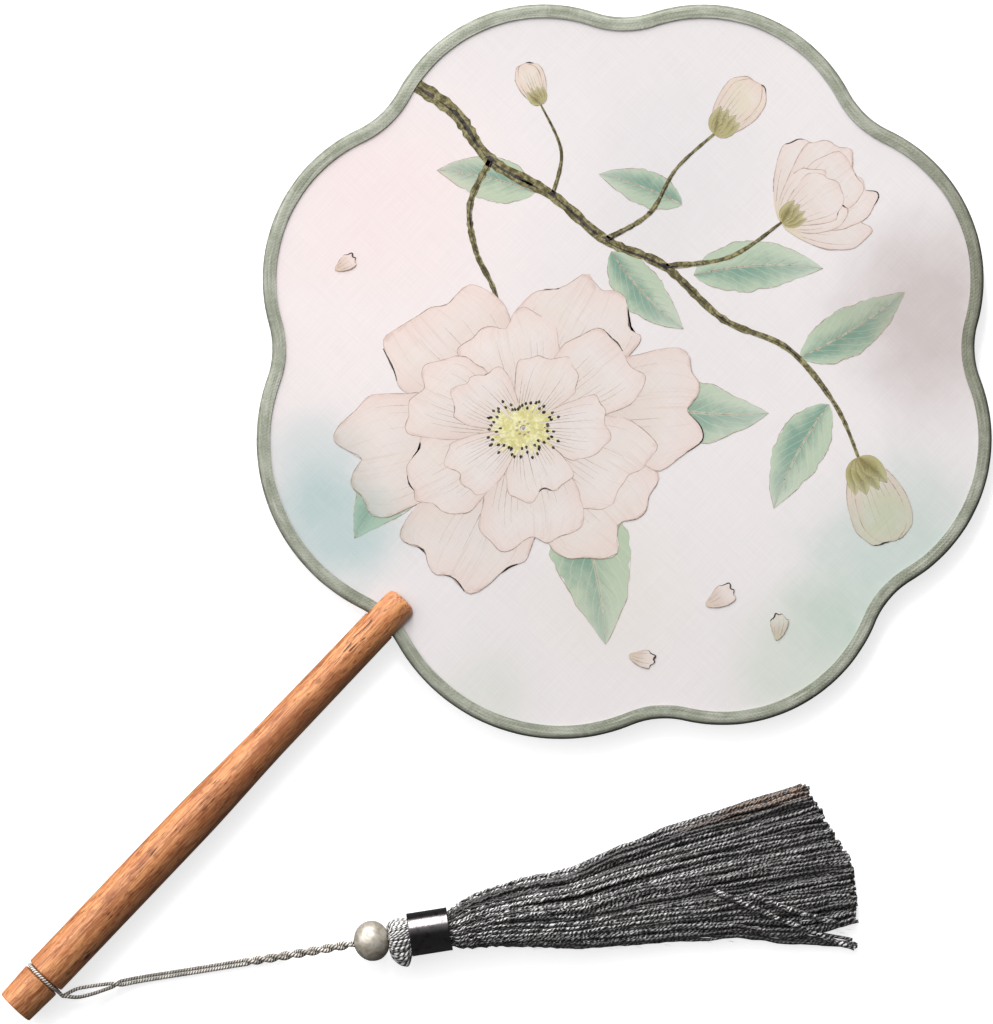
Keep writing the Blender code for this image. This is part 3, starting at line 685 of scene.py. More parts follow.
def loops_round(loop, radius, sides, yarn, loops, unlikeness, seed):
    """Sets a loop of thread round Y again and again, each a little unlike the last."""
    tree = loop.tree
    curve = add(tree, "GeometryNodeMeshToCurve", {"Mesh": loop})
    points = add(tree, "GeometryNodePoints", {"Count": loops})
    index = add(tree, "GeometryNodeInputIndex")

    def by_chance(low, high):
        inputs = {2: low, 3: high, "ID": index, "Seed": seed}
        return add(tree, "FunctionNodeRandomValue", inputs, 1, data_type="FLOAT")

    turn = (index / loops + by_chance(-0.35, 0.35) / loops) * tau
    smallest = unlikeness * -1.0 + 1.0
    inputs = {"Points": points, "Instance": curve, "Rotation": add(tree, "ShaderNodeCombineXYZ", {1: turn}),
              "Scale": by_chance(smallest, 1.0)}
    made = store(add(tree, "GeometryNodeInstanceOnPoints", inputs), "tint", by_chance(0.0, 1.0),
                 domain="INSTANCE")
    return sweep(add(tree, "GeometryNodeRealizeInstances", {0: made}), radius, sides, yarn)


YARN = new_group("yarn_along_guides", yarn_along, ("Guides", "Yarn radius", "Sides", "Yarn"),
                 ("Geometry",), "GeometryNodeTree")
LOOPS = new_group("loops_round_neck", loops_round,
                  ("Loop", "Yarn radius", "Sides", "Yarn", "Loops", "Unlikeness", "Seed"),
                  ("Geometry",), "GeometryNodeTree")


def grown(name, mesh, group, values):
    """What a group makes of a mesh, with the group's inputs set by their sockets' identifiers."""
    holder = hold(name, mesh)
    modifier = holder.modifiers.new("growth", "NODES")
    modifier.node_group = group
    for item in group.interface.items_tree:
        if item.in_out == "INPUT" and item.name in values:
            modifier[item.identifier] = values[item.name]
    return evaluated(holder, name)


def spin_yarn(name, guides, radius, yarn, sides, body, replaced=()):
    """A piece of yarns along guides, each (points, girths or None, tint) and perhaps how warm it is."""
    points, edges, girths, tints, warmths = [], [], [], [], []
    for line, girth, tint, *warmth in guides:
        first, count = len(points), len(line)
        points += [tuple(p) for p in line]
        edges += [(first + i, first + i + 1) for i in range(count - 1)]
        girths += girth if girth else [1.0] * count
        tints += [tint] * count
        warmths += warmth[0] if warmth else [0.0] * count
    mesh = drawn(name, points, edges)
    for label, values in (("girth", girths), ("tint", tints), ("warm", warmths)):
        mesh.attributes.new(label, "FLOAT", "POINT").data.foreach_set("value", values)
    made = grown(name, mesh, YARN, {"Yarn radius": radius, "Sides": sides, "Yarn": yarn})
    return put(name, made, body, replaced)


# Camera, table and light

TABLE_HALF, TABLE_GLOW = 9.0, 0.72
TABLE_SEEN, TABLE_UNSEEN = (0.62, 0.62, 0.62), (0.15, 0.15, 0.15)
WINDOW_FAR, WINDOW_HIGH, WINDOW_WIDE, WINDOW_DEEP, WINDOW_RADIANCE = 2.1, 1.25, 0.45, 2.0, 23.8
WINDOW_WAY = picture_way(-0.17, 0.985)
SKY_WAY = picture_way(-0.6, 0.6) + Vector((0, 0, 0.25))
SKY_DIM, SKY_BRIGHT = 0.16, 2.4


def set_camera():
    """Straight down, rolled so that the handle points up and to the right as photographed."""
    data = bpy.data.cameras.new("camera")
    data.lens, data.sensor_width = LENS, SENSOR
    data.clip_start, data.clip_end = 0.05, 20
    camera = hold("camera", data)
    camera.location = (VIEW_X, VIEW_Y, VIEW_HEIGHT_PX * VIEW_SCALE * LENS / SENSOR + AXIS_Z)
    camera.rotation_euler = (0, 0, radians(90 - VIEW_ROLL_DEG))
    bpy.context.scene.camera = camera


def set_window():
    """An area light aimed at the fan's middle, as bright to look at as its radiance says."""
    data = bpy.data.lights.new("key", "AREA")
    data.shape, data.size, data.size_y = "RECTANGLE", WINDOW_WIDE, WINDOW_DEEP
    data.energy = WINDOW_RADIANCE * pi * WINDOW_WIDE * WINDOW_DEEP
    lamp = hold("key", data)
    lamp.location = Vector((VIEW_X, VIEW_Y, WINDOW_HIGH)) + WINDOW_WAY * WINDOW_FAR
    aim = Vector((VIEW_X, VIEW_Y, 0)) - lamp.location
    lamp.rotation_euler = aim.to_track_quat("-Z", "Y").to_euler()


def set_table():
    """A white table lit from below, which throws little light back on the object."""
    corners = [(x * TABLE_HALF, y * TABLE_HALF, 0) for x, y in ((-1, -1), (1, -1), (1, 1), (-1, 1))]
    white = Surface("white_table", Roughness=0.9, Specular_IOR_Level=0.1, Emission_Color=(1, 1, 1, 1))
    seen = add(white.tree, "ShaderNodeLightPath", output="Is Camera Ray")
    white.set(Base_Color=mix(seen, TABLE_UNSEEN, TABLE_SEEN), Emission_Strength=seen * TABLE_GLOW)
    hold("table", dress(drawn("table", corners, [], [(0, 1, 2, 3)]), white.material))


def set_sky():
    """White surroundings, brighter to one side, as large soft boxes make them."""
    world = bpy.data.worlds.new("studio")
    bpy.context.scene.world = world
    world.use_nodes = True
    tree = world.node_tree
    inputs = {0: add(tree, "ShaderNodeTexCoord", output="Generated"), 1: SKY_WAY.normalized()}
    facing = add(tree, "ShaderNodeVectorMath", inputs, "Value", operation="DOT_PRODUCT")
    strength = between(facing, 0.2, 1.0, SKY_DIM, SKY_BRIGHT)
    fill(tree.nodes["Background"], {"Color": (1, 1, 1, 1), "Strength": strength})


set_camera()
set_table()
set_window()
set_sky()
bpy.context.scene.view_settings.view_transform = "Standard"


# Cord

# Along the span, height between the cord's lowest line and its end's, and aside as a share of the span
CORD_ROUTE_shares = (
    (0.00, 1.00, 0.000), (0.05, 0.97, -0.001), (0.10, 0.79, -0.002), (0.15, 0.52, -0.004),
    (0.20, 0.27, -0.006), (0.26, 0.09, -0.007), (0.33, 0.02, -0.006), (0.42, 0.01, -0.004),
    (0.52, 0.01, -0.002), (0.61, 0.02, -0.001), (0.68, 0.06, 0.000), (0.75, 0.18, 0.001),
    (0.82, 0.42, 0.001), (0.88, 0.70, 0.001), (0.94, 0.93, 0.000), (1.00, 1.00, 0.000),
)
CORD_LOW, CORD_LOWEST = 0.0012, 0.00127
PAIR_RADIUS = 0.00064
FULL_TWIST = 0.0098
JOIN_AT, CROSSED_AT = 0.0165, 0.0205
TWIST_FROM, TWIST_STEADY = 0.063, 0.067
FIRST_APART_share = 0.4
STRAND_BULGE = 0.00075
SWELL_AT_FIRST_share, SWELL_TWISTED_share = 0.06, 0.22
SWELL_FROM, SWELL_TO, SWELL_LESS_OVER = 0.060, 0.068, 0.002
LOOP_RADIUS = 0.00655
LOOP_SPREAD = 0.00075
LOOP_PULL_share = 0.38
LOOP_END_X = CORD_X - STRAND_RADIUS - 0.0003
LOOP_LEAVES = radians(45)


def smooth_between(before, start, end, after, t):
    return tuple(
        (2 * b + (c - a) * t + (2 * a - 5 * b + 4 * c - d) * t * t + (3 * b - a - 3 * c + d) * t ** 3) / 2
        for a, b, c, d in zip(before, start, end, after)
    )


def smooth_line(points, steps):
    """A smooth line through points, with steps between each two."""
    spots = [points[0], *points, points[-1]]
    line = []
    for i in range(1, len(spots) - 2):
        line += [smooth_between(*spots[i - 1:i + 3], k / steps) for k in range(steps)]
    return line + [tuple(points[-1])]


def cord_middle(along):
    """The middle of the two strands at a distance along the span, in the fan's frame."""
    route = []
    for share, lift, side in CORD_ROUTE_shares:
        top = AXIS_Z if share < 0.5 else TASSEL_HEIGHT
        route.append((side * CORD_SPAN, share * CORD_SPAN, CORD_LOW + lift * (top - CORD_LOW)))
    spots = [route[0], *route, route[-1]]
    i = 1
    while along > spots[i + 1][1] and i < len(spots) - 3:
        i += 1
    side, _, height = smooth_between(*spots[i - 1:i + 3], ramp(along, spots[i][1], spots[i + 1][1]))
    spot = Vector((PIVOT.x, PIVOT.y, 0)) + CORD_WAY * along + CORD_SIDE * side
    spot.z = max(height, CORD_LOWEST)
    return spot


def turns_at(along):
    """How often the strands have gone round each other: they cross, lie side by side, then twist."""
    spots = ((JOIN_AT, 0.0), (CROSSED_AT, 0.5), (TWIST_FROM, 0.5), (TWIST_STEADY, 1.0),
             (CORD_SPAN, 1.0 + (CORD_SPAN - TWIST_STEADY) / FULL_TWIST))
    for (low, low_turn), (high, high_turn) in zip(spots, spots[1:]):
        if along <= high:
            break
    return low_turn + (high_turn - low_turn) * max(0, along - low) / (high - low)


def thicker(along):
    """How much thicker a strand is than where it leaves the groove, most where it is twisted."""
    twisted = ramp(along, SWELL_FROM, SWELL_TO) * ramp(along, CORD_SPAN, CORD_SPAN - SWELL_LESS_OVER)
    return SWELL_AT_FIRST_share + SWELL_TWISTED_share * twisted


def strand_path(over):
    """One strand: out of the groove, apart from its fellow and together to the join, then round it."""
    steps = 150
    points = [Vector((LOOP_END_X - STRAND_RADIUS, GROOVE_Y, AXIS_Z + over * LOOP_SPREAD))]
    for i in range(steps + 1):
        along = CORD_SPAN * i / steps
        apart = min(along / JOIN_AT, 1)
        turn = pi / 2 * min(apart / FIRST_APART_share, 1) + tau * turns_at(along)
        bulge = sin(pi * apart ** 0.7) if apart < 1 else 0
        pair = PAIR_RADIUS * (1 + thicker(along))
        reach = LOOP_SPREAD + (pair - LOOP_SPREAD) * apart ** 2 + STRAND_BULGE * bulge
        side, up = reach * sin(turn) * over, reach * cos(turn) * over
        point = cord_middle(along) + CORD_SIDE * side + Vector((0, 0, up))
        point.z = max(point.z, STRAND_RADIUS * 1.3)
        points.append(point)
    return points


def make_strands(yarn):
    made = []
    for name, over, slot, tint, nodes in (
            ("strand_over", 1, "over_cord", 0.5, ("cord_strand_over", "cord_twisted")),
            ("strand_under", -1, "under_cord", 0.8, ("cord_strand_under",))):
        path = strand_path(over)
        girths = [1.0] + [1 + thicker(CORD_SPAN * i / (len(path) - 2)) for i in range(len(path) - 1)]
        piece = spin_yarn(name, [(path, girths, tint)], STRAND_RADIUS, yarn, 10, None, nodes)
        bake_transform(piece)
        made.append((piece, path))
    return made


def make_loop(yarn):
    """The strand round the groove, which leaves it on both sides of the cord's pivot."""
    on_ring = Vector(polar(LOOP_RADIUS, LOOP_LEAVES))
    end = Vector((LOOP_END_X, LOOP_SPREAD))
    pull = (on_ring - end).length * LOOP_PULL_share
    way = Vector((-sin(LOOP_LEAVES), cos(LOOP_LEAVES)))
    controls = (end, end - Vector((pull, 0)), on_ring - way * pull, on_ring)
    half = []
    for i in range(9):
        t = i / 9
        weights = ((1 - t) ** 3, 3 * t * (1 - t) ** 2, 3 * t * t * (1 - t), t ** 3)
        half.append(sum((c * w for w, c in zip(weights, controls)), Vector((0, 0))))
    ring = arc((0, 0), LOOP_RADIUS, LOOP_LEAVES, tau - 2 * LOOP_LEAVES, 60)
    flat = [(p.x, p.y) for p in half] + ring + [(p.x, -p.y) for p in [on_ring] + half[::-1]]
    path = [Vector((x, GROOVE_Y, AXIS_Z + z)) for x, z in flat]
    return spin_yarn("groove_turn", [(path, None, 1.0)], STRAND_RADIUS, yarn, 10, "loop",
                     ("cord_loop",))


# Bead, head and band

KNOT_AT, KNOT_RADIUS, KNOT_SWELL, KNOT_HALF = 0.01835, 0.00115, 0.00055, 0.0009
STUB_INTO_HEAD = 0.0022
PEARL_MOUTH, PEARL_BORE, PEARL_LIP, PEARL_EDGE = 0.0015, 0.00142, 0.0004, 0.0001
PEARL_LUMP, PEARL_DIMPLE, PEARL_SUNK = 0.00016, 0.00006, 0.0001
HEAD_THREAD, HEAD_LOOPS, UNLIKE_share, LOOPS_FROM_mm = 0.00052, 46, 0.07, 0.5
# One loop from inside the crown to inside the band: how far along and how far from the middle
HEAD_LOOP_mm = ((0.7, 2.0), (0.1, 3.2), (0.0, 4.6), (0.35, 5.8), (1.3, 6.6), (2.8, 6.95), (4.4, 6.95),
                (5.8, 6.6), (6.9, 6.2), (7.7, 5.9))
WRAP_RADIUS, WRAP_THREAD, WRAP_TURNS, WRAP_INSET = 0.0062, 0.00045, 10, 0.0022
BAND_WALL, BAND_ROLL, BAND_WAIST, BAND_BEAD, BAND_EDGE = 0.0005, 0.00022, 0.00004, 0.0009, 0.0001


def make_stub(yarn):
    """The two strands through the bead and the head's crown, and the knot they end in."""
    guides = []
    for reach in (PAIR_RADIUS, -PAIR_RADIUS):
        line = []
        for i in range(61):
            along = (HEAD_START + STUB_INTO_HEAD) * i / 60
            turn = pi / 2 + tau * (turns_at(CORD_SPAN) + along / FULL_TWIST)
            line.append(tassel_spot(along, reach * sin(turn), reach * cos(turn)))
        guides.append((line, None, 0.4))
    stub = spin_yarn("cord_in_bead", guides, STRAND_RADIUS, yarn, 8, "tassel", ("cord_end",))
    knot, turns = [], 96
    for i in range(turns + 1):
        a = tau * i / turns
        reach = KNOT_RADIUS + KNOT_SWELL * cos(3 * a)
        knot.append(tassel_spot(KNOT_AT + KNOT_HALF * sin(3 * a), *polar(reach, 2 * a)))
    knot = spin_yarn("stop_knot", [(knot, None, 0.6)], STRAND_RADIUS, yarn, 8, "tassel",
                     ("cord_knot",))
    return [stub, knot]


def make_pearl():
    """A slightly lumpy pearl, drilled through, with a small lip round each hole."""
    middle, opening, steps = (BEAD_START + BEAD_END) / 2, asin(PEARL_MOUTH / BEAD_RADIUS), 44
    reach = (BEAD_END - BEAD_START) / 2 / cos(opening)
    turns = [opening + (pi - 2 * opening) * i / steps for i in range(steps + 1)]
    profile = [(middle - reach * cos(turn), BEAD_RADIUS * sin(turn)) for turn in turns]
    profile += [(BEAD_END - PEARL_LIP, PEARL_BORE), (BEAD_START + PEARL_LIP, PEARL_BORE)]
    bm = turned(profile, 72, closed=True)
    for vert in bm.verts:
        x, y, z = vert.co
        if hypot(x, z) > PEARL_MOUTH + PEARL_EDGE:
            lump = PEARL_LUMP * noise.noise(vert.co * 210)
            lump += PEARL_DIMPLE * noise.noise(vert.co * 520 + Vector((3, 1, 2)))
            vert.co += Vector((x, y - middle, z)).normalized() * (lump - PEARL_SUNK)
    lay_on_tassel(bm)
    return put("pearl", to_mesh("pearl", bm, pearl_material()), "bead", ("pearl_bead",))


def make_head(yarn):
    """The folded ends of the threads: loops that rise from the hole, bulge and go down into the band."""
    line = [(radius * MM, HEAD_START + (LOOPS_FROM_mm + along) * MM, 0)
            for along, radius in smooth_line(HEAD_LOOP_mm, 3)]
    mesh = drawn("head_loop", line, [(i, i + 1) for i in range(len(line) - 1)])
    values = {"Loops": HEAD_LOOPS, "Yarn radius": HEAD_THREAD, "Sides": 7, "Yarn": yarn,
              "Unlikeness": UNLIKE_share, "Seed": SEED}
    made = grown("head_loops", mesh, LOOPS, values)
    bm = bmesh.new()
    bm.from_mesh(made)
    for vert in bm.verts:
        far = (vert.co.y - HEAD_START) / (HEAD_END - HEAD_START)
        side = vert.co.x / HEAD_RADIUS
        past = max(0, far - 0.68) / 0.36
        swell = 0.45 * side * min(1, 0.72 + 0.4 * ramp(far, 0, 1)) * max(0, 1 - past * past)
        vert.co.x *= 1 + swell if side > 0 else 0.85
    lay_on_tassel(bm)
    bm.to_mesh(made)
    bm.free()
    return put("head_loops", made, "tassel", ("tassel_head",))


def make_neck_wrap(yarn):
    """One thread wound round the neck, hidden by the band."""
    line, steps = [], WRAP_TURNS * 20
    start, end = BAND_START + WRAP_INSET, BAND_END - WRAP_INSET
    for i in range(steps + 1):
        a = tau * i / 20
        along = start + (end - start) * i / steps
        line.append(tassel_spot(along, *polar(WRAP_RADIUS, a)))
    return spin_yarn("neck_wrap", [(line, None, 0.2)], WRAP_THREAD, yarn, 6, "tassel",
                     ("neck_whipping",))


def make_band():
    """The metal sleeve, its edges rolled over."""
    start, end, outer, inner = BAND_START, BAND_END, BAND_RADIUS, BAND_RADIUS - BAND_WALL
    roll, waist, quarter = BAND_ROLL, BAND_RADIUS - BAND_WAIST, -pi / 2
    profile = [(start + roll, inner), (start, inner + BAND_EDGE), (start, outer - roll)]
    profile += arc((start + roll, outer - roll), roll, pi, quarter, 5)[1:]
    profile += [(start + roll, outer), (start + BAND_BEAD, waist)]
    profile += [(end - BAND_BEAD, waist), (end - roll, outer)]
    profile += arc((end - roll, outer - roll), roll, pi / 2, quarter, 5)[1:]
    profile += [(end, outer - roll), (end, inner + BAND_EDGE), (end - roll, inner)]
    bm = turned(profile, 96, closed=True)
    lay_on_tassel(bm)
    gunmetal = metal_material("dark_plate", (0.080, 0.074, 0.075), 0.20, (3, 4200, 1))
    mesh = to_mesh("band_sleeve", bm, gunmetal, 35)
    return put("band_sleeve", mesh, "tassel", ("tassel_band",))


# Thread skirt

# Along the skirt, reach of its inner side, reach of its outer side and fullness
SKIRT_shares = (
    (0.000, 0.195, 0.300, 0.840), (0.020, 0.250, 0.370, 0.995), (0.055, 0.325, 0.395, 0.990),
    (0.110, 0.390, 0.440, 0.960), (0.190, 0.455, 0.560, 0.900), (0.310, 0.490, 0.720, 0.780),
    (0.450, 0.670, 0.810, 0.580), (0.600, 0.805, 0.905, 0.380), (0.780, 0.945, 1.030, 0.170),
    (0.920, 1.025, 1.090, 0.040), (1.000, 1.050, 1.120, 0.000),
)
INNER_REACH, OUTER_REACH, HEM_HALF = 0.0305, 0.0200, 0.0036
NECK_IN_BAND, NECK_AT_EDGE = 0.0056, 0.0060
SKIRT_THREADS, SKIRT_LOCKS, SKIRT_THREAD = 330, 28, 0.00056
THREAD_START_share = -0.095
WANDER_AT_NECK, WANDER_GAIN, RIPPLE, SWING = 0.0003, 0.0013, 0.0006, 0.0014
CRIMP_ASIDE, CRIMP_UP = 0.00040, 0.00030
PARTED_FROM_share, LOOSE_ASIDE, LOOSE_SPREAD, WEDGE_ASIDE = 0.70, 0.0088, 0.0010, 0.0042
# Which threads part near the hem, hang loose there, crimp and are tan, by their place in the bundle
WEDGE_FROM_share, LOOSE_FROM_share, OUTER_FROM_share = 0.62, 0.87, 0.6
TAN_shares = (-0.97, -0.86, -0.74)
# Each stray thread's start and finish as (along, side), and how far it bows aside
STRAYS = (((0.1249, 0.0008), (0.1694, 0.0284), 0.0007), ((0.1364, 0.0040), (0.1644, 0.0187), 0.0006))
STRAY_GIRTH, STRAY_RIPPLE, STRAY_REST, STRAY_CLEAR = 1.6, 0.0002, 0.0005, 0.0009
FIBRES, FIBRE_RADIUS, FIBRE_LENGTHS, FIBRE_CLEAR = 160, 0.00004, (0.0010, 0.0028), 0.0001


def skirt_section(share):
    """The bundle's middle, half width, half height and middle height at a share of the skirt's length."""
    if share <= 0:
        neck = NECK_IN_BAND + (NECK_AT_EDGE - NECK_IN_BAND) * max(0, 1 + share * 20)
        return 0.0, neck, neck, 0.0
    for low, high in zip(SKIRT_shares, SKIRT_shares[1:]):
        if share <= high[0]:
            break
    t = ramp(share, low[0], high[0])
    inner, outer, full = (low[k] + (high[k] - low[k]) * t for k in (1, 2, 3))
    half = HEM_HALF + full * (BAND_RADIUS - HEM_HALF)
    inner, outer = inner * INNER_REACH, outer * OUTER_REACH
    return (outer - inner) / 2, (outer + inner) / 2, half, half - TASSEL_HEIGHT


def thread_places(count):
    """Places of threads in a round bundle, as evenly spread as seeds in a flower head."""
    golden = pi * (3 - sqrt(5))
    return [(sqrt((i + 0.5) / count), golden * i) for i in range(count)]


def skirt_thread(chance, reach, turn, locks):
    """One thread from inside the band to the cut hem. It crimps, then drifts towards its lock."""
    a, b = polar(reach, turn)
    lock = min(locks, key=lambda spot: (spot[0] - a) ** 2 + 1.6 * (spot[1] - b) ** 2)
    tint, phase = chance.random(), chance.uniform(0, 50)
    swing, crimp = chance.uniform(-1, 1), chance.uniform(0.6, 1.3)
    end = 1 - 0.013 * max(a, 0) ** 2 - 0.072 * max(0.22 - a, 0) + chance.uniform(-0.014, 0.006)
    loose, outer = a > LOOSE_FROM_share, reach > OUTER_FROM_share
    if loose:
        end -= 0.010
    steps = 76 if outer else 26
    line, girths, warm = [], [], []
    tan_from, tan_full, tan_to = TAN_shares
    tan = (1.0 if a < tan_full else 0.5) if tan_from < a < tan_to and b > 0.1 else 0.0
    for k in range(steps + 1):
        share = THREAD_START_share + (end - THREAD_START_share) * (k / steps) ** (1.4 if outer else 1)
        middle, wide, tall, level = skirt_section(share)
        fan = max(share, 0)
        girth = 0.60 + 0.45 * ramp(share, -0.02, 0.28)
        inset = SKIRT_THREAD * girth
        drift = 0.55 * ramp(share, 0.05, 0.25) * (1 - 0.5 * fan)
        across, height = a + (lock[0] - a) * drift, b + (lock[1] - b) * drift * 0.5
        edge = max(1, hypot(across, height))
        spot = Vector((share * 5, phase, 0.3))
        wander = WANDER_AT_NECK + WANDER_GAIN * fan
        side = middle + across / edge * (wide - inset) + noise.noise(spot * 1.4) * wander
        side += noise.noise(spot * 3.1) * RIPPLE * min(1, fan * 4) + swing * SWING * fan * fan
        up = level + height / edge * (tall - inset)
        up += noise.noise(spot * 2.2 + Vector((9, 4, 1))) * wander * 0.7
        if outer:
            bend = crimp * ramp(share, 0, 0.05) * (0.22 + 0.78 * max(0, 1 - share / 0.35))
            side += CRIMP_ASIDE * bend * sin(share * 180 * crimp + phase)
            up += CRIMP_UP * bend * sin(share * 163 * crimp + phase * 2)
        if loose:
            astray = max(0, share - PARTED_FROM_share) / 0.30
            side += LOOSE_ASIDE * astray * min(1, 0.4 + astray * 2)
            side -= ((a - 0.93) * wide * 0.6 + swing * LOOSE_SPREAD) * astray
            up -= 0.6 * astray * (up + TASSEL_HEIGHT - inset)
        elif a > WEDGE_FROM_share and share > PARTED_FROM_share:
            bulge = sin(pi * min(1, (share - PARTED_FROM_share) / 0.32))
            side += WEDGE_ASIDE * (a - WEDGE_FROM_share) / 0.25 * bulge
        up = max(up, -TASSEL_HEIGHT + inset)
        line.append(tassel_spot(BAND_END + share * SKIRT_LENGTH, side, up))
        girths.append(girth)
        warm.append(tan * ramp(share, 0.55, 0.85))
    return line, girths, tint, warm


def stray_thread(start, finish, rise):
    """A thread that lies across the others, from (along, side) to (along, side)."""
    line = []
    for k in range(33):
        t = k / 32
        along = start[0] + (finish[0] - start[0]) * t
        side = start[1] + (finish[1] - start[1]) * t + sin(t * pi) * rise + STRAY_RIPPLE * sin(t * 31)
        middle, wide, tall, level = skirt_section(min((along - BAND_END) / SKIRT_LENGTH, 1))
        out = min(abs(side - middle) / wide, 1)
        top = level + tall * sqrt(1 - out * out) + (STRAY_REST if t > 0.06 else -STRAY_REST)
        line.append(tassel_spot(along, side, max(top, -TASSEL_HEIGHT + STRAY_CLEAR)))
    return line, [STRAY_GIRTH] * len(line), 0.62


def make_skirt(yarn):
    """The threads of the skirt, gathered in locks, and two that stray."""
    chance = random.Random(SEED)
    locks = [polar(*place) for place in thread_places(SKIRT_LOCKS)]
    locks = [(x + chance.uniform(-0.06, 0.06), y + chance.uniform(-0.06, 0.06)) for x, y in locks]
    guides = [skirt_thread(chance, reach, turn, locks) for reach, turn in thread_places(SKIRT_THREADS)]
    guides += [stray_thread(*stray) for stray in STRAYS]
    third = len(guides) // 3
    for name, part, nodes in (("skirt_threads_a", guides[:third], ("tassel_skirt",)),
                              ("skirt_threads_b", guides[third:2 * third], ()),
                              ("skirt_threads_c", guides[2 * third:], ())):
        spin_yarn(name, part, SKIRT_THREAD, yarn, 6, "tassel", nodes)


def make_fibres(yarn):
    """Fine loose fibres that stand off the edges of the skirt."""
    chance = random.Random(SEED + 1)
    guides = []
    for _ in range(FIBRES):
        share = chance.uniform(0.02, 0.97)
        middle, wide, tall, level = skirt_section(share)
        turn = chance.uniform(-0.3, pi + 0.3)
        a, b = polar(1, turn)
        length = chance.uniform(*FIBRE_LENGTHS)
        line = []
        for t in (0, 0.25, 0.5, 0.75, 1):
            out = length * t * (0.12 + 0.25 * t)
            side = middle + a * wide + a * out
            up = max(level + b * tall + b * out, -TASSEL_HEIGHT + FIBRE_CLEAR)
            line.append(tassel_spot(BAND_END + share * SKIRT_LENGTH + length * t, side, up))
        guides.append((line, None, chance.random()))
    spin_yarn("loose_fibres", guides, FIBRE_RADIUS, yarn, 3, "tassel")


# Each yarn's colours: painted shade in the grooves, the ridge colour, then painted glints.
cord_yarn = yarn_material("cord_yarn", (0.045, 0.040, 0.032), (0.400, 0.365, 0.315), (0.86, 0.80, 0.72),
                          520.0, 0.6, lift=0.10)
skirt_yarn = yarn_material("skirt_yarn", (0.004, 0.0035, 0.0035), (0.082, 0.074, 0.073), (0.88, 0.86, 0.85),
                           300.0, 0.36, light_fade=(0.03, 0.14), wander=14.0)
head_yarn = yarn_material("head_yarn", (0.030, 0.028, 0.028), (0.60, 0.58, 0.57), (0.97, 0.95, 0.94),
                          300.0, 0.42, lift=0.1)
strands = make_strands(cord_yarn)
groove_turn = make_loop(cord_yarn)
on_cord = make_stub(cord_yarn)
on_cord += [make_pearl(), make_head(head_yarn), make_neck_wrap(skirt_yarn), make_band()]
make_skirt(skirt_yarn)
make_fibres(skirt_yarn)
for piece, path in strands:
    length = sum((b - a).length for a, b in zip(path, path[1:]))
    on_cord + [groove_turn] if piece.name == "strand_over" else ()


# Handle

BUTT_RADIUS, BY_GROOVE_RADIUS, BUTT_ROUND = HANDLE_RADIUS - 0.0007, HANDLE_RADIUS - 0.0002, 0.0005
GROOVE_LIP = 0.00025
SHAFT_FROM, SHAFT_TO = 0.020, 0.185
WAIST_FROM, WAIST_TO, WAIST_DEPTH = 0.085, 0.130, 0.001
NECK_TO, NECK_DEPTH = 0.190, 0.0003
TOP_AT, TOP_RADIUS, TOP_ROUND, TOP_STEP = 0.1885, 0.00595, 0.0024, 0.00003
CROWN_HIGH, CROWN_RADIUS, CROWN_RISE, CROWN_TIP = 0.0003, 0.0035, 0.0002, 0.002
KERF_WIDE, KERF_SLACK, BORE_SLACK, OVERRUN = 0.02, 0.00015, 0.0003, 0.002


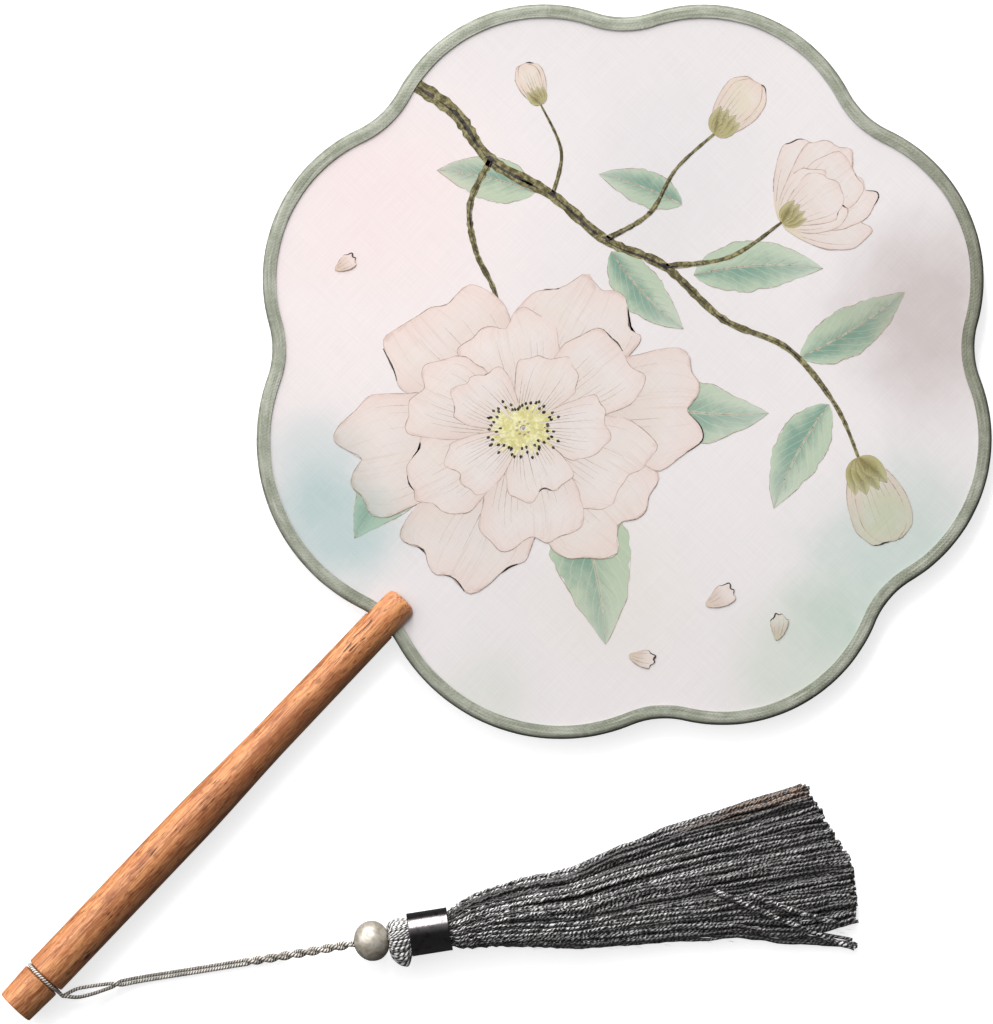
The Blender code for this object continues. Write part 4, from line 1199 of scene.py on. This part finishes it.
def make_handle():
    """The turned stick with its cord groove, sawn slot and bore."""
    low, high = GROOVE_FROM_BUTT - GROOVE_WIDTH / 2, GROOVE_FROM_BUTT + GROOVE_WIDTH / 2
    floor, beside, steps = HANDLE_RADIUS - GROOVE_DEPTH, BY_GROOVE_RADIUS, 40
    profile = [(0, 0), (0, HANDLE_RADIUS * 0.5)]
    profile += arc((BUTT_ROUND, BUTT_RADIUS - BUTT_ROUND), BUTT_ROUND, pi, -pi / 2, 8)
    profile += [(BUTT_ROUND, BUTT_RADIUS), (low - GROOVE_LIP, beside), (low, beside - GROOVE_LIP)]
    profile += [(low, floor), (high, floor), (high, HANDLE_RADIUS - GROOVE_LIP)]
    profile += [(high + GROOVE_LIP, HANDLE_RADIUS)]
    for i in range(steps + 1):
        along = SHAFT_FROM + (SHAFT_TO - SHAFT_FROM) * i / steps
        t = ramp(along, WAIST_FROM, WAIST_TO)
        neck = NECK_DEPTH * ramp(along, WAIST_TO, NECK_TO)
        profile.append((along, HANDLE_RADIUS - WAIST_DEPTH * t * t * (3 - 2 * t) - neck))
    crown = HANDLE_LENGTH - CROWN_HIGH
    profile += [(TOP_AT, TOP_RADIUS + TOP_STEP)]
    profile += arc((crown - TOP_ROUND, TOP_RADIUS - TOP_ROUND), TOP_ROUND, pi / 2, -pi / 2, 10)
    profile += [(crown, CROWN_RADIUS), (crown + CROWN_RISE, CROWN_TIP), (HANDLE_LENGTH, 0)]
    bm = turned(profile, 80)
    for vert in bm.verts:
        vert.co += Vector((0, BUTT_Y, AXIS_Z))
    stick = hold("stick", to_mesh("stick", bm, None, 30))
    hidden = NOTCH_ROUND - sqrt(NOTCH_ROUND ** 2 - HANDLE_RADIUS ** 2)
    kerf_y = LEAF_Y - NOTCH_DEPTH - hidden - KERF_SLACK
    kerf_length = BUTT_Y + HANDLE_LENGTH + OVERRUN - kerf_y
    kerf = bmesh.new()
    bmesh.ops.create_cube(kerf, size=1)
    for vert in kerf.verts:
        x, y, z = vert.co
        vert.co = (x * KERF_WIDE, kerf_y + kerf_length * (y + 0.5), AXIS_Z + z * 2 * KERF_HALF)
    near, far = kerf_y - TANG_LENGTH - BORE_SLACK, kerf_y + OVERRUN
    bore = turned([(near, 0), (near, TANG_BORE), (far, TANG_BORE), (far, 0)], 32)
    for vert in bore.verts:
        vert.co.z += AXIS_Z
    cutters = [hold("kerf", to_mesh("kerf", kerf)), hold("bore", to_mesh("bore", bore))]
    for cutter in cutters:
        cut = stick.modifiers.new(cutter.name, "BOOLEAN")
        cut.operation, cut.object = "DIFFERENCE", cutter
    mesh = evaluated(stick, "handle_stick")
    for cutter in cutters:
        bpy.data.objects.remove(cutter, do_unlink=True)
    return put("handle_stick", dress(mesh, wood_material()), "fan", ("handle",))


# Silk, ribbon and wire

SILK_RINGS = 26
SILK_SLACK = 0.00003
PUCKER_REACH = 0.006
RIBBON_SINK, RIBBON_WANDER, RIBBON_EDGE = 0.00005, 0.0001, 0.004
PUCKER_WAVE = 2600


def leaf_slab(name, low, high, material):
    """A closed slab of silk cut to the leaf's outline, with the faint slackness of stretched cloth."""
    edge = leaf_outline(RIM_HALF, 18, 6)
    count = len(edge)
    bm = bmesh.new()
    rims = []
    for z, up in ((low, False), (high, True)):
        rows = []
        for k in range(SILK_RINGS):
            share = 1 - k / SILK_RINGS
            row = []
            for x, y in edge:
                ripple = noise.noise(Vector((x * share * 11, y * share * 11, 2.0)))
                slack = ripple * SILK_SLACK * (1 - share ** 6)
                row.append(bm.verts.new((x * share, LEAF_Y + y * share, AXIS_Z + z + slack)))
            rows.append(row)
        rows.append([bm.verts.new((0, LEAF_Y, AXIS_Z + z))] * count)
        for row, inner in zip(rows, rows[1:]):
            for i in range(count):
                j = (i + 1) % count
                corners = list(dict.fromkeys((row[i], row[j], inner[j], inner[i])))
                bm.faces.new(corners if up else corners[::-1])
        rims.append(rows[0])
    lower, upper = rims
    for i in range(count):
        j = (i + 1) % count
        bm.faces.new((lower[i], lower[j], upper[j], upper[i]))
    return to_mesh(name, bm, material, 50)


def polygon_area(points):
    return abs(sum(a[0] * b[1] - b[0] * a[1] for a, b in zip(points, points[1:] + points[:1]))) / 2


def make_silk():
    front = leaf_slab("silk_face", SILK_LOW, SILK_HIGH, silk_material("painted_silk", True))
    back = leaf_slab("silk_lining", -SILK_HIGH, -SILK_LOW, silk_material("bare_silk", False))
    return (put("silk_face", front, "fan", ("silk_front",)),
            put("silk_lining", back, "fan", ("silk_back",)))


def ribbon_section():
    """The folded ribbon's section round the rim: its points as (inset, height), each with its reach."""
    flat, half, section = RIBBON_WIDTH - RIM_HALF, RIM_HALF, []
    for radius in (half, half - RIBBON_THICKNESS):
        side = [(RIBBON_WIDTH - flat * i / 4, -radius) for i in range(4)]
        side += [(half + radius * cos(a), radius * sin(a))
                 for a in (-pi / 2 - pi * i / 12 for i in range(13))]
        side += [(half + flat * i / 4, radius) for i in range(1, 5)]
        fold = pi * half / 2
        reach = [-(fold + flat) + 2 * (fold + flat) * i / (len(side) - 1) for i in range(len(side))]
        rows = list(zip(side, reach))
        section += rows if radius == half else rows[::-1]
    return section


def make_ribbon():
    """The ribbon folded over the rim, with small puckers where the rim turns inwards."""
    section = ribbon_section()
    lines = [leaf_outline(inset, 44, 16, RIBBON_TURN) for (inset, z), reach in section]
    spine = leaf_outline(0, 44, 16, RIBBON_TURN)
    along = [0.0]
    for a, b in zip(spine, spine[1:]):
        along.append(along[-1] + hypot(b[0] - a[0], b[1] - a[1]))
    bm = bmesh.new()
    uv = bm.loops.layers.uv.new("UVMap")
    rings = []
    for i, far in enumerate(along):
        ring = []
        for line, ((inset, z), reach) in zip(lines, section):
            x, y = line[i]
            radius = hypot(x, y)
            pucker = max(0, (CREST_RADIUS - PUCKER_REACH - radius - inset) / PUCKER_REACH)
            ripple = noise.noise(Vector((far * 160, reach * 90, 1.0)))
            ripple += sin(far * PUCKER_WAVE) * 0.5 * min(pucker, 1)
            sink = RIBBON_SINK * ripple
            edge = 0
            if inset > RIBBON_EDGE:
                edge = RIBBON_WANDER * noise.noise(Vector((far * 90, 4.0, z * 500)))
            away = 1 + (edge - sink * (inset < RIM_HALF)) / radius
            up = z + sink * (1 if z > 0 else -1) * (inset >= RIM_HALF)
            ring.append(bm.verts.new((x * away, LEAF_Y + y * away, AXIS_Z + up)))
        rings.append(ring)
    for i in range(len(rings) - 1):
        for k in range(len(section)):
            m = (k + 1) % len(section)
            face = bm.faces.new((rings[i][k], rings[i][m], rings[i + 1][m], rings[i + 1][k]))
            for loop, (at, level) in zip(face.loops, ((i, k), (i, m), (i + 1, m), (i + 1, k))):
                loop[uv].uv = (along[at], section[level][1])
    bm.faces.new(rings[0])
    bm.faces.new(rings[-1])
    mesh = to_mesh("rim_ribbon", bm, ribbon_material(), 60)
    width = pi * RIM_HALF + 2 * (RIBBON_WIDTH - RIM_HALF)
    return put("rim_ribbon", mesh, "fan", ("edge_binding",)), (width, along[-1])


# Painted branch, drawn in mm to the right and up from the leaf's middle as seen in the picture

PAINT_STEP = 0.0000035
PAINT_THICKNESS = 0.000001
PAINT_LIFT = 0.00004


class Paint:
    """Flat painted shapes of one paint, gathered into one thin mesh on the silk."""

    level = 0
    chance = random.Random(SEED + 2)

    def __init__(self, name, make_material, *how):
        self.name, self.material = name, make_material(*how)
        self.points, self.faces, self.uvs, self.shades = [], [], [], []

    def grid(self, rows, uv_rows, shade=0.0, lift=0.0):
        """A sheet of rows of points, all as long as each other."""
        height = AXIS_Z + SILK_HIGH + PAINT_LIFT + (Paint.level + lift) * PAINT_STEP
        first, width = len(self.points), len(rows[0])
        for row, uv_row in zip(rows, uv_rows):
            self.points += [tuple(picture_spot(x, y, height)) for x, y in row]
            self.uvs += uv_row
            self.shades += [shade] * width
        for i in range(len(rows) - 1):
            for k in range(width - 1):
                a = first + i * width + k
                self.faces.append((a, a + 1, a + width + 1, a + width))

    def stroke(self, line, thick, thin, steps, press=0.5, lift=0.5):
        """A brush stroke through points, thickest where the brush is pressed."""
        line = smooth_line(line, steps)
        last = len(line) - 1
        rows, uvs = [], []
        for i, (x, y) in enumerate(line):
            t = i / last
            width = thin + (thick - thin) * (1 - abs(t - press) / max(press, 1 - press))
            width *= self.chance.uniform(0.8, 1.2)
            ahead, behind = line[min(i + 1, last)], line[max(i - 1, 0)]
            dx, dy = ahead[0] - behind[0], ahead[1] - behind[1]
            long = hypot(dx, dy) or 1
            nx, ny = -dy / long * width / 2, dx / long * width / 2
            rows.append([(x - nx, y - ny), (x, y), (x + nx, y + ny)])
            uvs.append([(0, t), (0.5, t), (1, t)])
        self.grid(rows, uvs, 0.0, lift)

    def outline(self, rows, thick=0.30, gaps_share=0.2):
        """A broken, uneven line round a painted shape."""
        chance, edge = self.chance, edge_of(rows)[2:-2]
        at = chance.randint(0, 2)
        while at < len(edge) - 4:
            reach = chance.randint(7, 16)
            part = edge[at:at + reach]
            if len(part) > 3:
                line = part[::2] + ([part[-1]] if len(part) % 2 == 0 else [])
                self.stroke(line, thick * chance.uniform(0.6, 1.25), 0.07, 3, chance.uniform(0.3, 0.7))
            at += reach - 1 + (chance.randint(2, 4) if chance.random() < gaps_share else 0)

    def accent(self, rows, start_share, end_share):
        """One dark stroke along part of a shape's edge, where the brush was pressed."""
        edge = edge_of(rows)
        part = edge[int(start_share * len(edge)):int(end_share * len(edge))]
        self.stroke(part[::2], 0.52, 0.12, 4, self.chance.uniform(0.35, 0.65), 0.6)

    def veins(self, rows, count):
        """Fine lines that run up a petal from its foot, as far as the brush went."""
        chance, cells = self.chance, len(rows[0]) - 1
        for i in range(count):
            k = round(cells * (0.5 + 0.84 * ((i + 0.5) / count - 0.5)) + chance.uniform(-0.4, 0.4))
            low = int(len(rows) * (0.1 + chance.uniform(0, 0.12)))
            high = int(len(rows) * 0.9 * chance.uniform(0.6, 1.0))
            part = [rows[j][min(max(k, 1), cells - 1)] for j in range(low, high, 2)]
            if len(part) > 2:
                self.stroke(part, 0.17 * chance.uniform(0.8, 1.5), 0.05, 3, 0.25)

    def finish(self):
        mesh = drawn(self.name, self.points, [], self.faces)
        layer = mesh.uv_layers.new(name="UVMap")
        for loop in mesh.loops:
            layer.data[loop.index].uv = self.uvs[loop.vertex_index]
        mesh.attributes.new("shade", "FLOAT", "POINT").data.foreach_set("value", self.shades)
        bm = bmesh.new()
        bm.from_mesh(mesh)
        for face in bm.faces:
            if face.normal.z < 0:
                face.normal_flip()
        bm.to_mesh(mesh)
        bm.free()
        holder = hold(self.name, mesh)
        solid = holder.modifiers.new("paint", "SOLIDIFY")
        solid.thickness, solid.offset = PAINT_THICKNESS, -1
        return put(self.name, dress(evaluated(holder, self.name), self.material), "fan")


STAMENS, STAMEN_LENGTHS, SEEDS, SEED_RING = 64, (7.0, 13.0), 9, 2.3
# Each paint's piece, its kind and name, and its colours
PAINTS = [Paint(*how) for how in (
    ("painted_leaves", leaf_paint_material, "leaf_paint", (0.60, 0.755, 0.575), (0.27, 0.475, 0.375),
     (0.82, 0.88, 0.68)),
    ("painted_twigs", stroke_material, "bark_paint", (0.085, 0.072, 0.034), (0.30, 0.27, 0.135)),
    ("painted_petals", petal_material, "blossom_paint", (0.985, 0.945, 0.885), (0.985, 0.885, 0.835),
     (0.88, 0.86, 0.54)),
    ("painted_buds", petal_material, "bud_paint", (0.93, 0.880, 0.690), (0.97, 0.840, 0.740),
     (0.58, 0.57, 0.24)),
    ("bud_scales", leaf_paint_material, "scale_paint", (0.60, 0.58, 0.28), (0.30, 0.28, 0.11),
     (0.45, 0.32, 0.15)),
    ("painted_stamens", stroke_material, "stamen_paint", (0.55, 0.50, 0.20), (0.74, 0.71, 0.42)),
    ("ink_lines", stroke_material, "ink_paint", (0.022, 0.019, 0.018), (0.10, 0.085, 0.075)),
    ("fine_lines", stroke_material, "fine_line_paint", (0.30, 0.225, 0.175), (0.52, 0.43, 0.36)),
)]
LEAVES, TWIGS, PETALS, BUDS, SCALES, YELLOW, INK, FINE = PAINTS
CHANCE = Paint.chance


def shape_rows(steps, cells, base, heading_deg, bend_deg, length, place):
    """Rows across a shape that bends evenly, where place puts a point along and aside of its line."""
    heading, bend = radians(heading_deg), radians(bend_deg)
    rows, uvs = [], []
    for i in range(steps + 1):
        row = []
        for k in range(cells + 1):
            along, aside = place(2 * k / cells - 1, i / steps)
            turn = heading + bend * along
            if abs(bend) < 1e-4:
                x, y = polar(along, heading)
            else:
                x, y = (sin(turn) - sin(heading)) / bend, (cos(heading) - cos(turn)) / bend
            x, y = x + sin(turn) * aside, y - cos(turn) * aside
            row.append((base[0] + x * length, base[1] + y * length))
        rows.append(row)
        uvs.append([(k / cells, i / steps) for k in range(cells + 1)])
    return rows, uvs


def petal_rows(base, heading_deg, length, width, bend_deg, neck, notch, ruffle, phase):
    """Rows across a round-ended petal with a shallow notch in its end and a wavy edge."""
    def place(s, v):
        q = 2 * v - 1
        px, py = s * sqrt(1 - q * q / 2), q * sqrt(1 - s * s / 2)
        t = (py + 1) / 2
        narrow = neck + (1 - neck) * min(1, t / 0.75) ** 1.3
        rim = max(abs(s), abs(q)) ** 8 * min(1, max(0, t - 0.15) * 2)
        turn = atan2(px, py + 0.4)
        wave = 1 + rim * ruffle * 0.06 * (sin(turn * 6 + phase) + 0.6 * sin(turn * 13 + phase * 2))
        along = (t - notch * exp(-(s / 0.22) ** 2) * v ** 6) * wave
        return along, width / 2 * px * narrow * wave / length

    return shape_rows(20, 16, base, heading_deg, bend_deg, length, place)


def blade_rows(base, heading_deg, length, width, bend_deg, teeth=0.0):
    """Rows across a pointed leaf or scale, widest a little before its middle."""
    def place(s, v):
        swell = sin(pi * v ** (log(0.5) / log(0.42)))
        half = max(width / 2 * max(swell, 0) ** 0.85, 0.12)
        half *= 1 + teeth * (0.04 * sin(v * 60) + 0.03 * sin(v * 23 + base[0]))
        return v, s * half / length

    return shape_rows(30, 10, base, heading_deg, bend_deg, length, place)


def edge_of(rows):
    """The line round a painted shape, from its foot up one side, over its end and down the other."""
    return [row[0] for row in rows] + rows[-1][1:-1] + [row[-1] for row in reversed(rows)]


def paint_petal(paint, shape, shade, vein_count, dark_shares=None):
    rows, uvs = shape
    Paint.level += 1
    paint.grid(rows, uvs, shade)
    FINE.veins(rows, vein_count)
    FINE.outline(rows)
    if dark_shares:
        INK.accent(rows, *dark_shares)


def paint_blossom(middle):
    """An open blossom in three rings of round petals, facing a little to the right."""
    squash, lean = 0.86, radians(24)
    (cx, cy), c, s = middle, cos(lean), sin(lean)

    def seen(x, y):
        dx, dy = x - cx, y - cy
        u, v = dx * c + dy * s, (-dx * s + dy * c) * squash
        return cx + u * c - v * s, cy + u * s + v * c

    for turns, length, width, foot, shade, dark_shares in (
            ((128, 66, 8, -52, -112, 186), 57, 52, 4.0, 0.16,
             {0: (0.30, 0.42), 2: (0.52, 0.66), 4: (0.44, 0.55)}),
            ((98, 36, -24, -82, -146, 156), 43, 41, 3.0, 0.10, {1: (0.40, 0.52), 4: (0.5, 0.6)}),
            ((70, -4, -72, -140, 142), 28, 28, 2.0, 0.05, {2: (0.45, 0.55)})):
        for i, deg in enumerate(turns):
            x, y = polar(foot, radians(deg))
            size = CHANCE.uniform(0.93, 1.05)
            bend, neck = CHANCE.uniform(-12, 12), CHANCE.uniform(0.38, 0.5)
            notch, phase = CHANCE.uniform(0.03, 0.09), CHANCE.uniform(0, 6)
            rows, uvs = petal_rows((cx + x, cy + y), deg, length * size, width * size, bend, neck, notch,
                                   0.8, phase)
            rows = [[seen(x, y) for x, y in row] for row in rows]
            paint_petal(PETALS, (rows, uvs), shade + CHANCE.uniform(0, 0.06), 12, dark_shares.get(i))
    Paint.level += 1
    for k in range(STAMENS):
        a = tau * k / STAMENS + CHANCE.uniform(-0.06, 0.06)
        long = CHANCE.uniform(*STAMEN_LENGTHS)
        x, y = polar(1, a)
        ex, ey = cx + long * x, cy + long * squash * y
        bent = (cx + long * 0.55 * cos(a + 0.12), cy + long * 0.47 * sin(a + 0.12))
        YELLOW.stroke([(cx + x, cy + y), bent, (ex, ey)], 0.75, 0.35, 5, 0.6, 0.1)
        tip = [(ex - 0.5 * x, ey - 0.5 * y), (ex, ey), (ex + 0.7 * x, ey + 0.7 * y)]
        INK.stroke(tip, 1.05, 0.3, 4, 0.5, 0.9)
        Paint.level += 0.15
    for k in range(SEEDS):
        x, y = polar(SEED_RING if k else 0, tau * k / SEEDS)
        x, y = cx + x, cy + y
        FINE.stroke([(x - 0.5, y), (x, y), (x + 0.5, y + 0.4)], 0.8, 0.2, 4, 0.5, 0.8)
        Paint.level += 0.15


def paint_half_open(foot, heading, size):
    """A blossom half open, seen from the side: petals spread behind, then cupped, then the scales."""
    for turn, long, wide, bend, dark_shares in (
            (44, 0.92, 0.62, -26, (0.3, 0.45)), (-46, 0.90, 0.60, 26, None), (22, 1.02, 0.66, -12, None),
            (-20, 1.00, 0.64, 14, (0.5, 0.64)), (2, 0.96, 0.70, 4, None), (34, 0.66, 0.50, -48, None),
            (-34, 0.68, 0.50, 46, (0.52, 0.62)), (0, 0.70, 0.62, -5, None)):
        shape = petal_rows(foot, heading + turn, size * long, size * wide, bend, 0.45, 0.05, 0.6,
                           CHANCE.uniform(0, 6))
        paint_petal(PETALS, shape, 0.12, 6, dark_shares)
    paint_scales(foot, heading, size * 0.26)


def paint_scales(foot, heading, size):
    Paint.level += 1
    for turn in (38, -38, 14, -14):
        rows, uvs = blade_rows(foot, heading + turn, size, size * 0.5, -turn * 0.6)
        SCALES.grid(rows, uvs, 0.0, 0.1 + (turn + 38) / 200)
        FINE.outline(rows, 0.22)


def paint_bud(foot, heading, size):
    """A closed bud: petals wrapped over each other, with scales at its foot."""
    for turn, wide, bend, dark_shares in (
            (10, 0.74, -16, None), (-11, 0.72, 18, (0.5, 0.62)), (3, 0.66, -6, None)):
        width = size * 0.62 * wide / 0.72
        shape = petal_rows(foot, heading + turn, size, width, bend, 0.62, 0.0, 0.25, foot[0])
        paint_petal(BUDS, shape, 0.10, 6, dark_shares)
    paint_scales(foot, heading, size * 0.42)


def paint_leaf(foot, heading, long, wide, bend):
    rows, uvs = blade_rows(foot, heading, long, wide, bend, 1.0)
    Paint.level += 1
    LEAVES.grid(rows, uvs)
    FINE.outline(rows, 0.24, 0.4)
    middle = len(rows[0]) // 2
    FINE.stroke([row[middle] for row in rows[::3]], 0.42, 0.1, 3, 0.1)
    for j in range(4, 25, 3):
        for side in (2, -3):
            near, far = rows[j][middle], rows[min(j + 4, len(rows) - 1)][side]
            half = ((near[0] + far[0]) / 2 + 0.2, (near[1] + far[1]) / 2 + 0.2)
            FINE.stroke([near, half, far], 0.15, 0.04, 3, 0.1)


def paint_twig(line, thick, thin):
    """A twig in bark colour, with ink pressed along its shaded side."""
    TWIGS.stroke(line, thick, thin, 12, 0.06, 0.0)
    line = smooth_line(line, 12)
    at = 0
    while at < len(line) - 6:
        reach = CHANCE.randint(6, 15)
        wide = thick + (thin - thick) * at / len(line)
        aside = CHANCE.uniform(0.12, 0.34) * wide
        part = [(x + 0.6 * aside, y - 0.8 * aside) for x, y in line[at:at + reach]]
        if len(part) > 4:
            INK.stroke(part[::2], wide * CHANCE.uniform(0.12, 0.36), 0.08, 3, CHANCE.random(), 0.3)
        at += reach - CHANCE.randint(-1, 5)


def make_painting():
    """A blossom branch painted on the silk: leaves, twigs, buds, two blossoms and a few fallen petals."""
    for leaf in (((-54, -16), 216, 56, 25, 24), ((-22, -34), -62, 62, 27, -26), ((-8, -8), -18, 58, 24, 22),
                 ((24, 32), 14, 44, 17, -22), ((-30, 60), 158, 34, 15, 18), ((60, 4), 24, 42, 16, 16),
                 ((20, 56), 152, 30, 12, 16), ((70, -12), -128, 40, 17, 20), ((-4, 40), -58, 36, 15, 22)):
        paint_leaf(*leaf)
    Paint.level += 1
    paint_twig([(-45, 71), (-52, 56), (-50, 40), (-43, 24), (-42, 2)], 2.4, 1.3)
    paint_twig([(-6, 44), (9, 53), (18, 68), (31, 80)], 2.0, 0.8)
    paint_twig([(14, 35), (36, 38), (54, 50)], 2.0, 0.9)
    paint_twig([(-24, 59), (-21, 74), (-28, 90)], 1.5, 0.6)
    paint_twig([(-71, 97), (-57, 87), (-45, 71), (-24, 59), (-6, 44), (14, 35), (34, 17), (56, 7), (72, -12),
                (80, -30)], 4.8, 1.1)
    for x, y, size in ((-57, 87, 1.5), (-45, 71, 1.9), (-24, 59, 1.5), (-6, 44, 1.4), (14, 35, 1.3),
                       (34, 17, 1.1), (56, 7, 1.0), (9, 53, 0.8), (-50, 40, 0.9)):
        knot = [(x - size, y + size * 0.6), (x, y + size * 0.4), (x + size, y - size * 0.5)]
        INK.stroke(knot, size * 0.8, 0.2, 5)
    paint_bud((31, 80), 50, 23)
    paint_bud((-28, 90), 112, 15)
    paint_half_open((54, 50), 34, 33)
    paint_bud((80, -30), -68, 31)
    paint_blossom((-34, -20))
    for x, y, deg, long in ((28, -80, 18, 11), (2, -97, -24, 9), (52, -92, 70, 9), (-98, 34, 20, 8)):
        shape = petal_rows((x, y), deg, long, long * 0.75, 30, 0.5, 0.08, 0.8, x)
        paint_petal(PETALS, shape, 0.25, 3, (0.3, 0.6))
    return [paint.finish() for paint in PAINTS]


make_handle()
silk_face, silk_lining = make_silk()
ribbon, ribbon_flat = make_ribbon()
painting = make_painting()
silk_area = polygon_area(leaf_outline(RIM_HALF, 18, 6))
across = [2 * max(p[k] for p in leaf_outline(RIM_HALF)) for k in (0, 1)]

wire_metal = metal_material("drawn_wire", (0.42, 0.42, 0.41), 0.42, (900, 900, 1))
dress(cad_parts["frame_wire"].data, wire_metal)
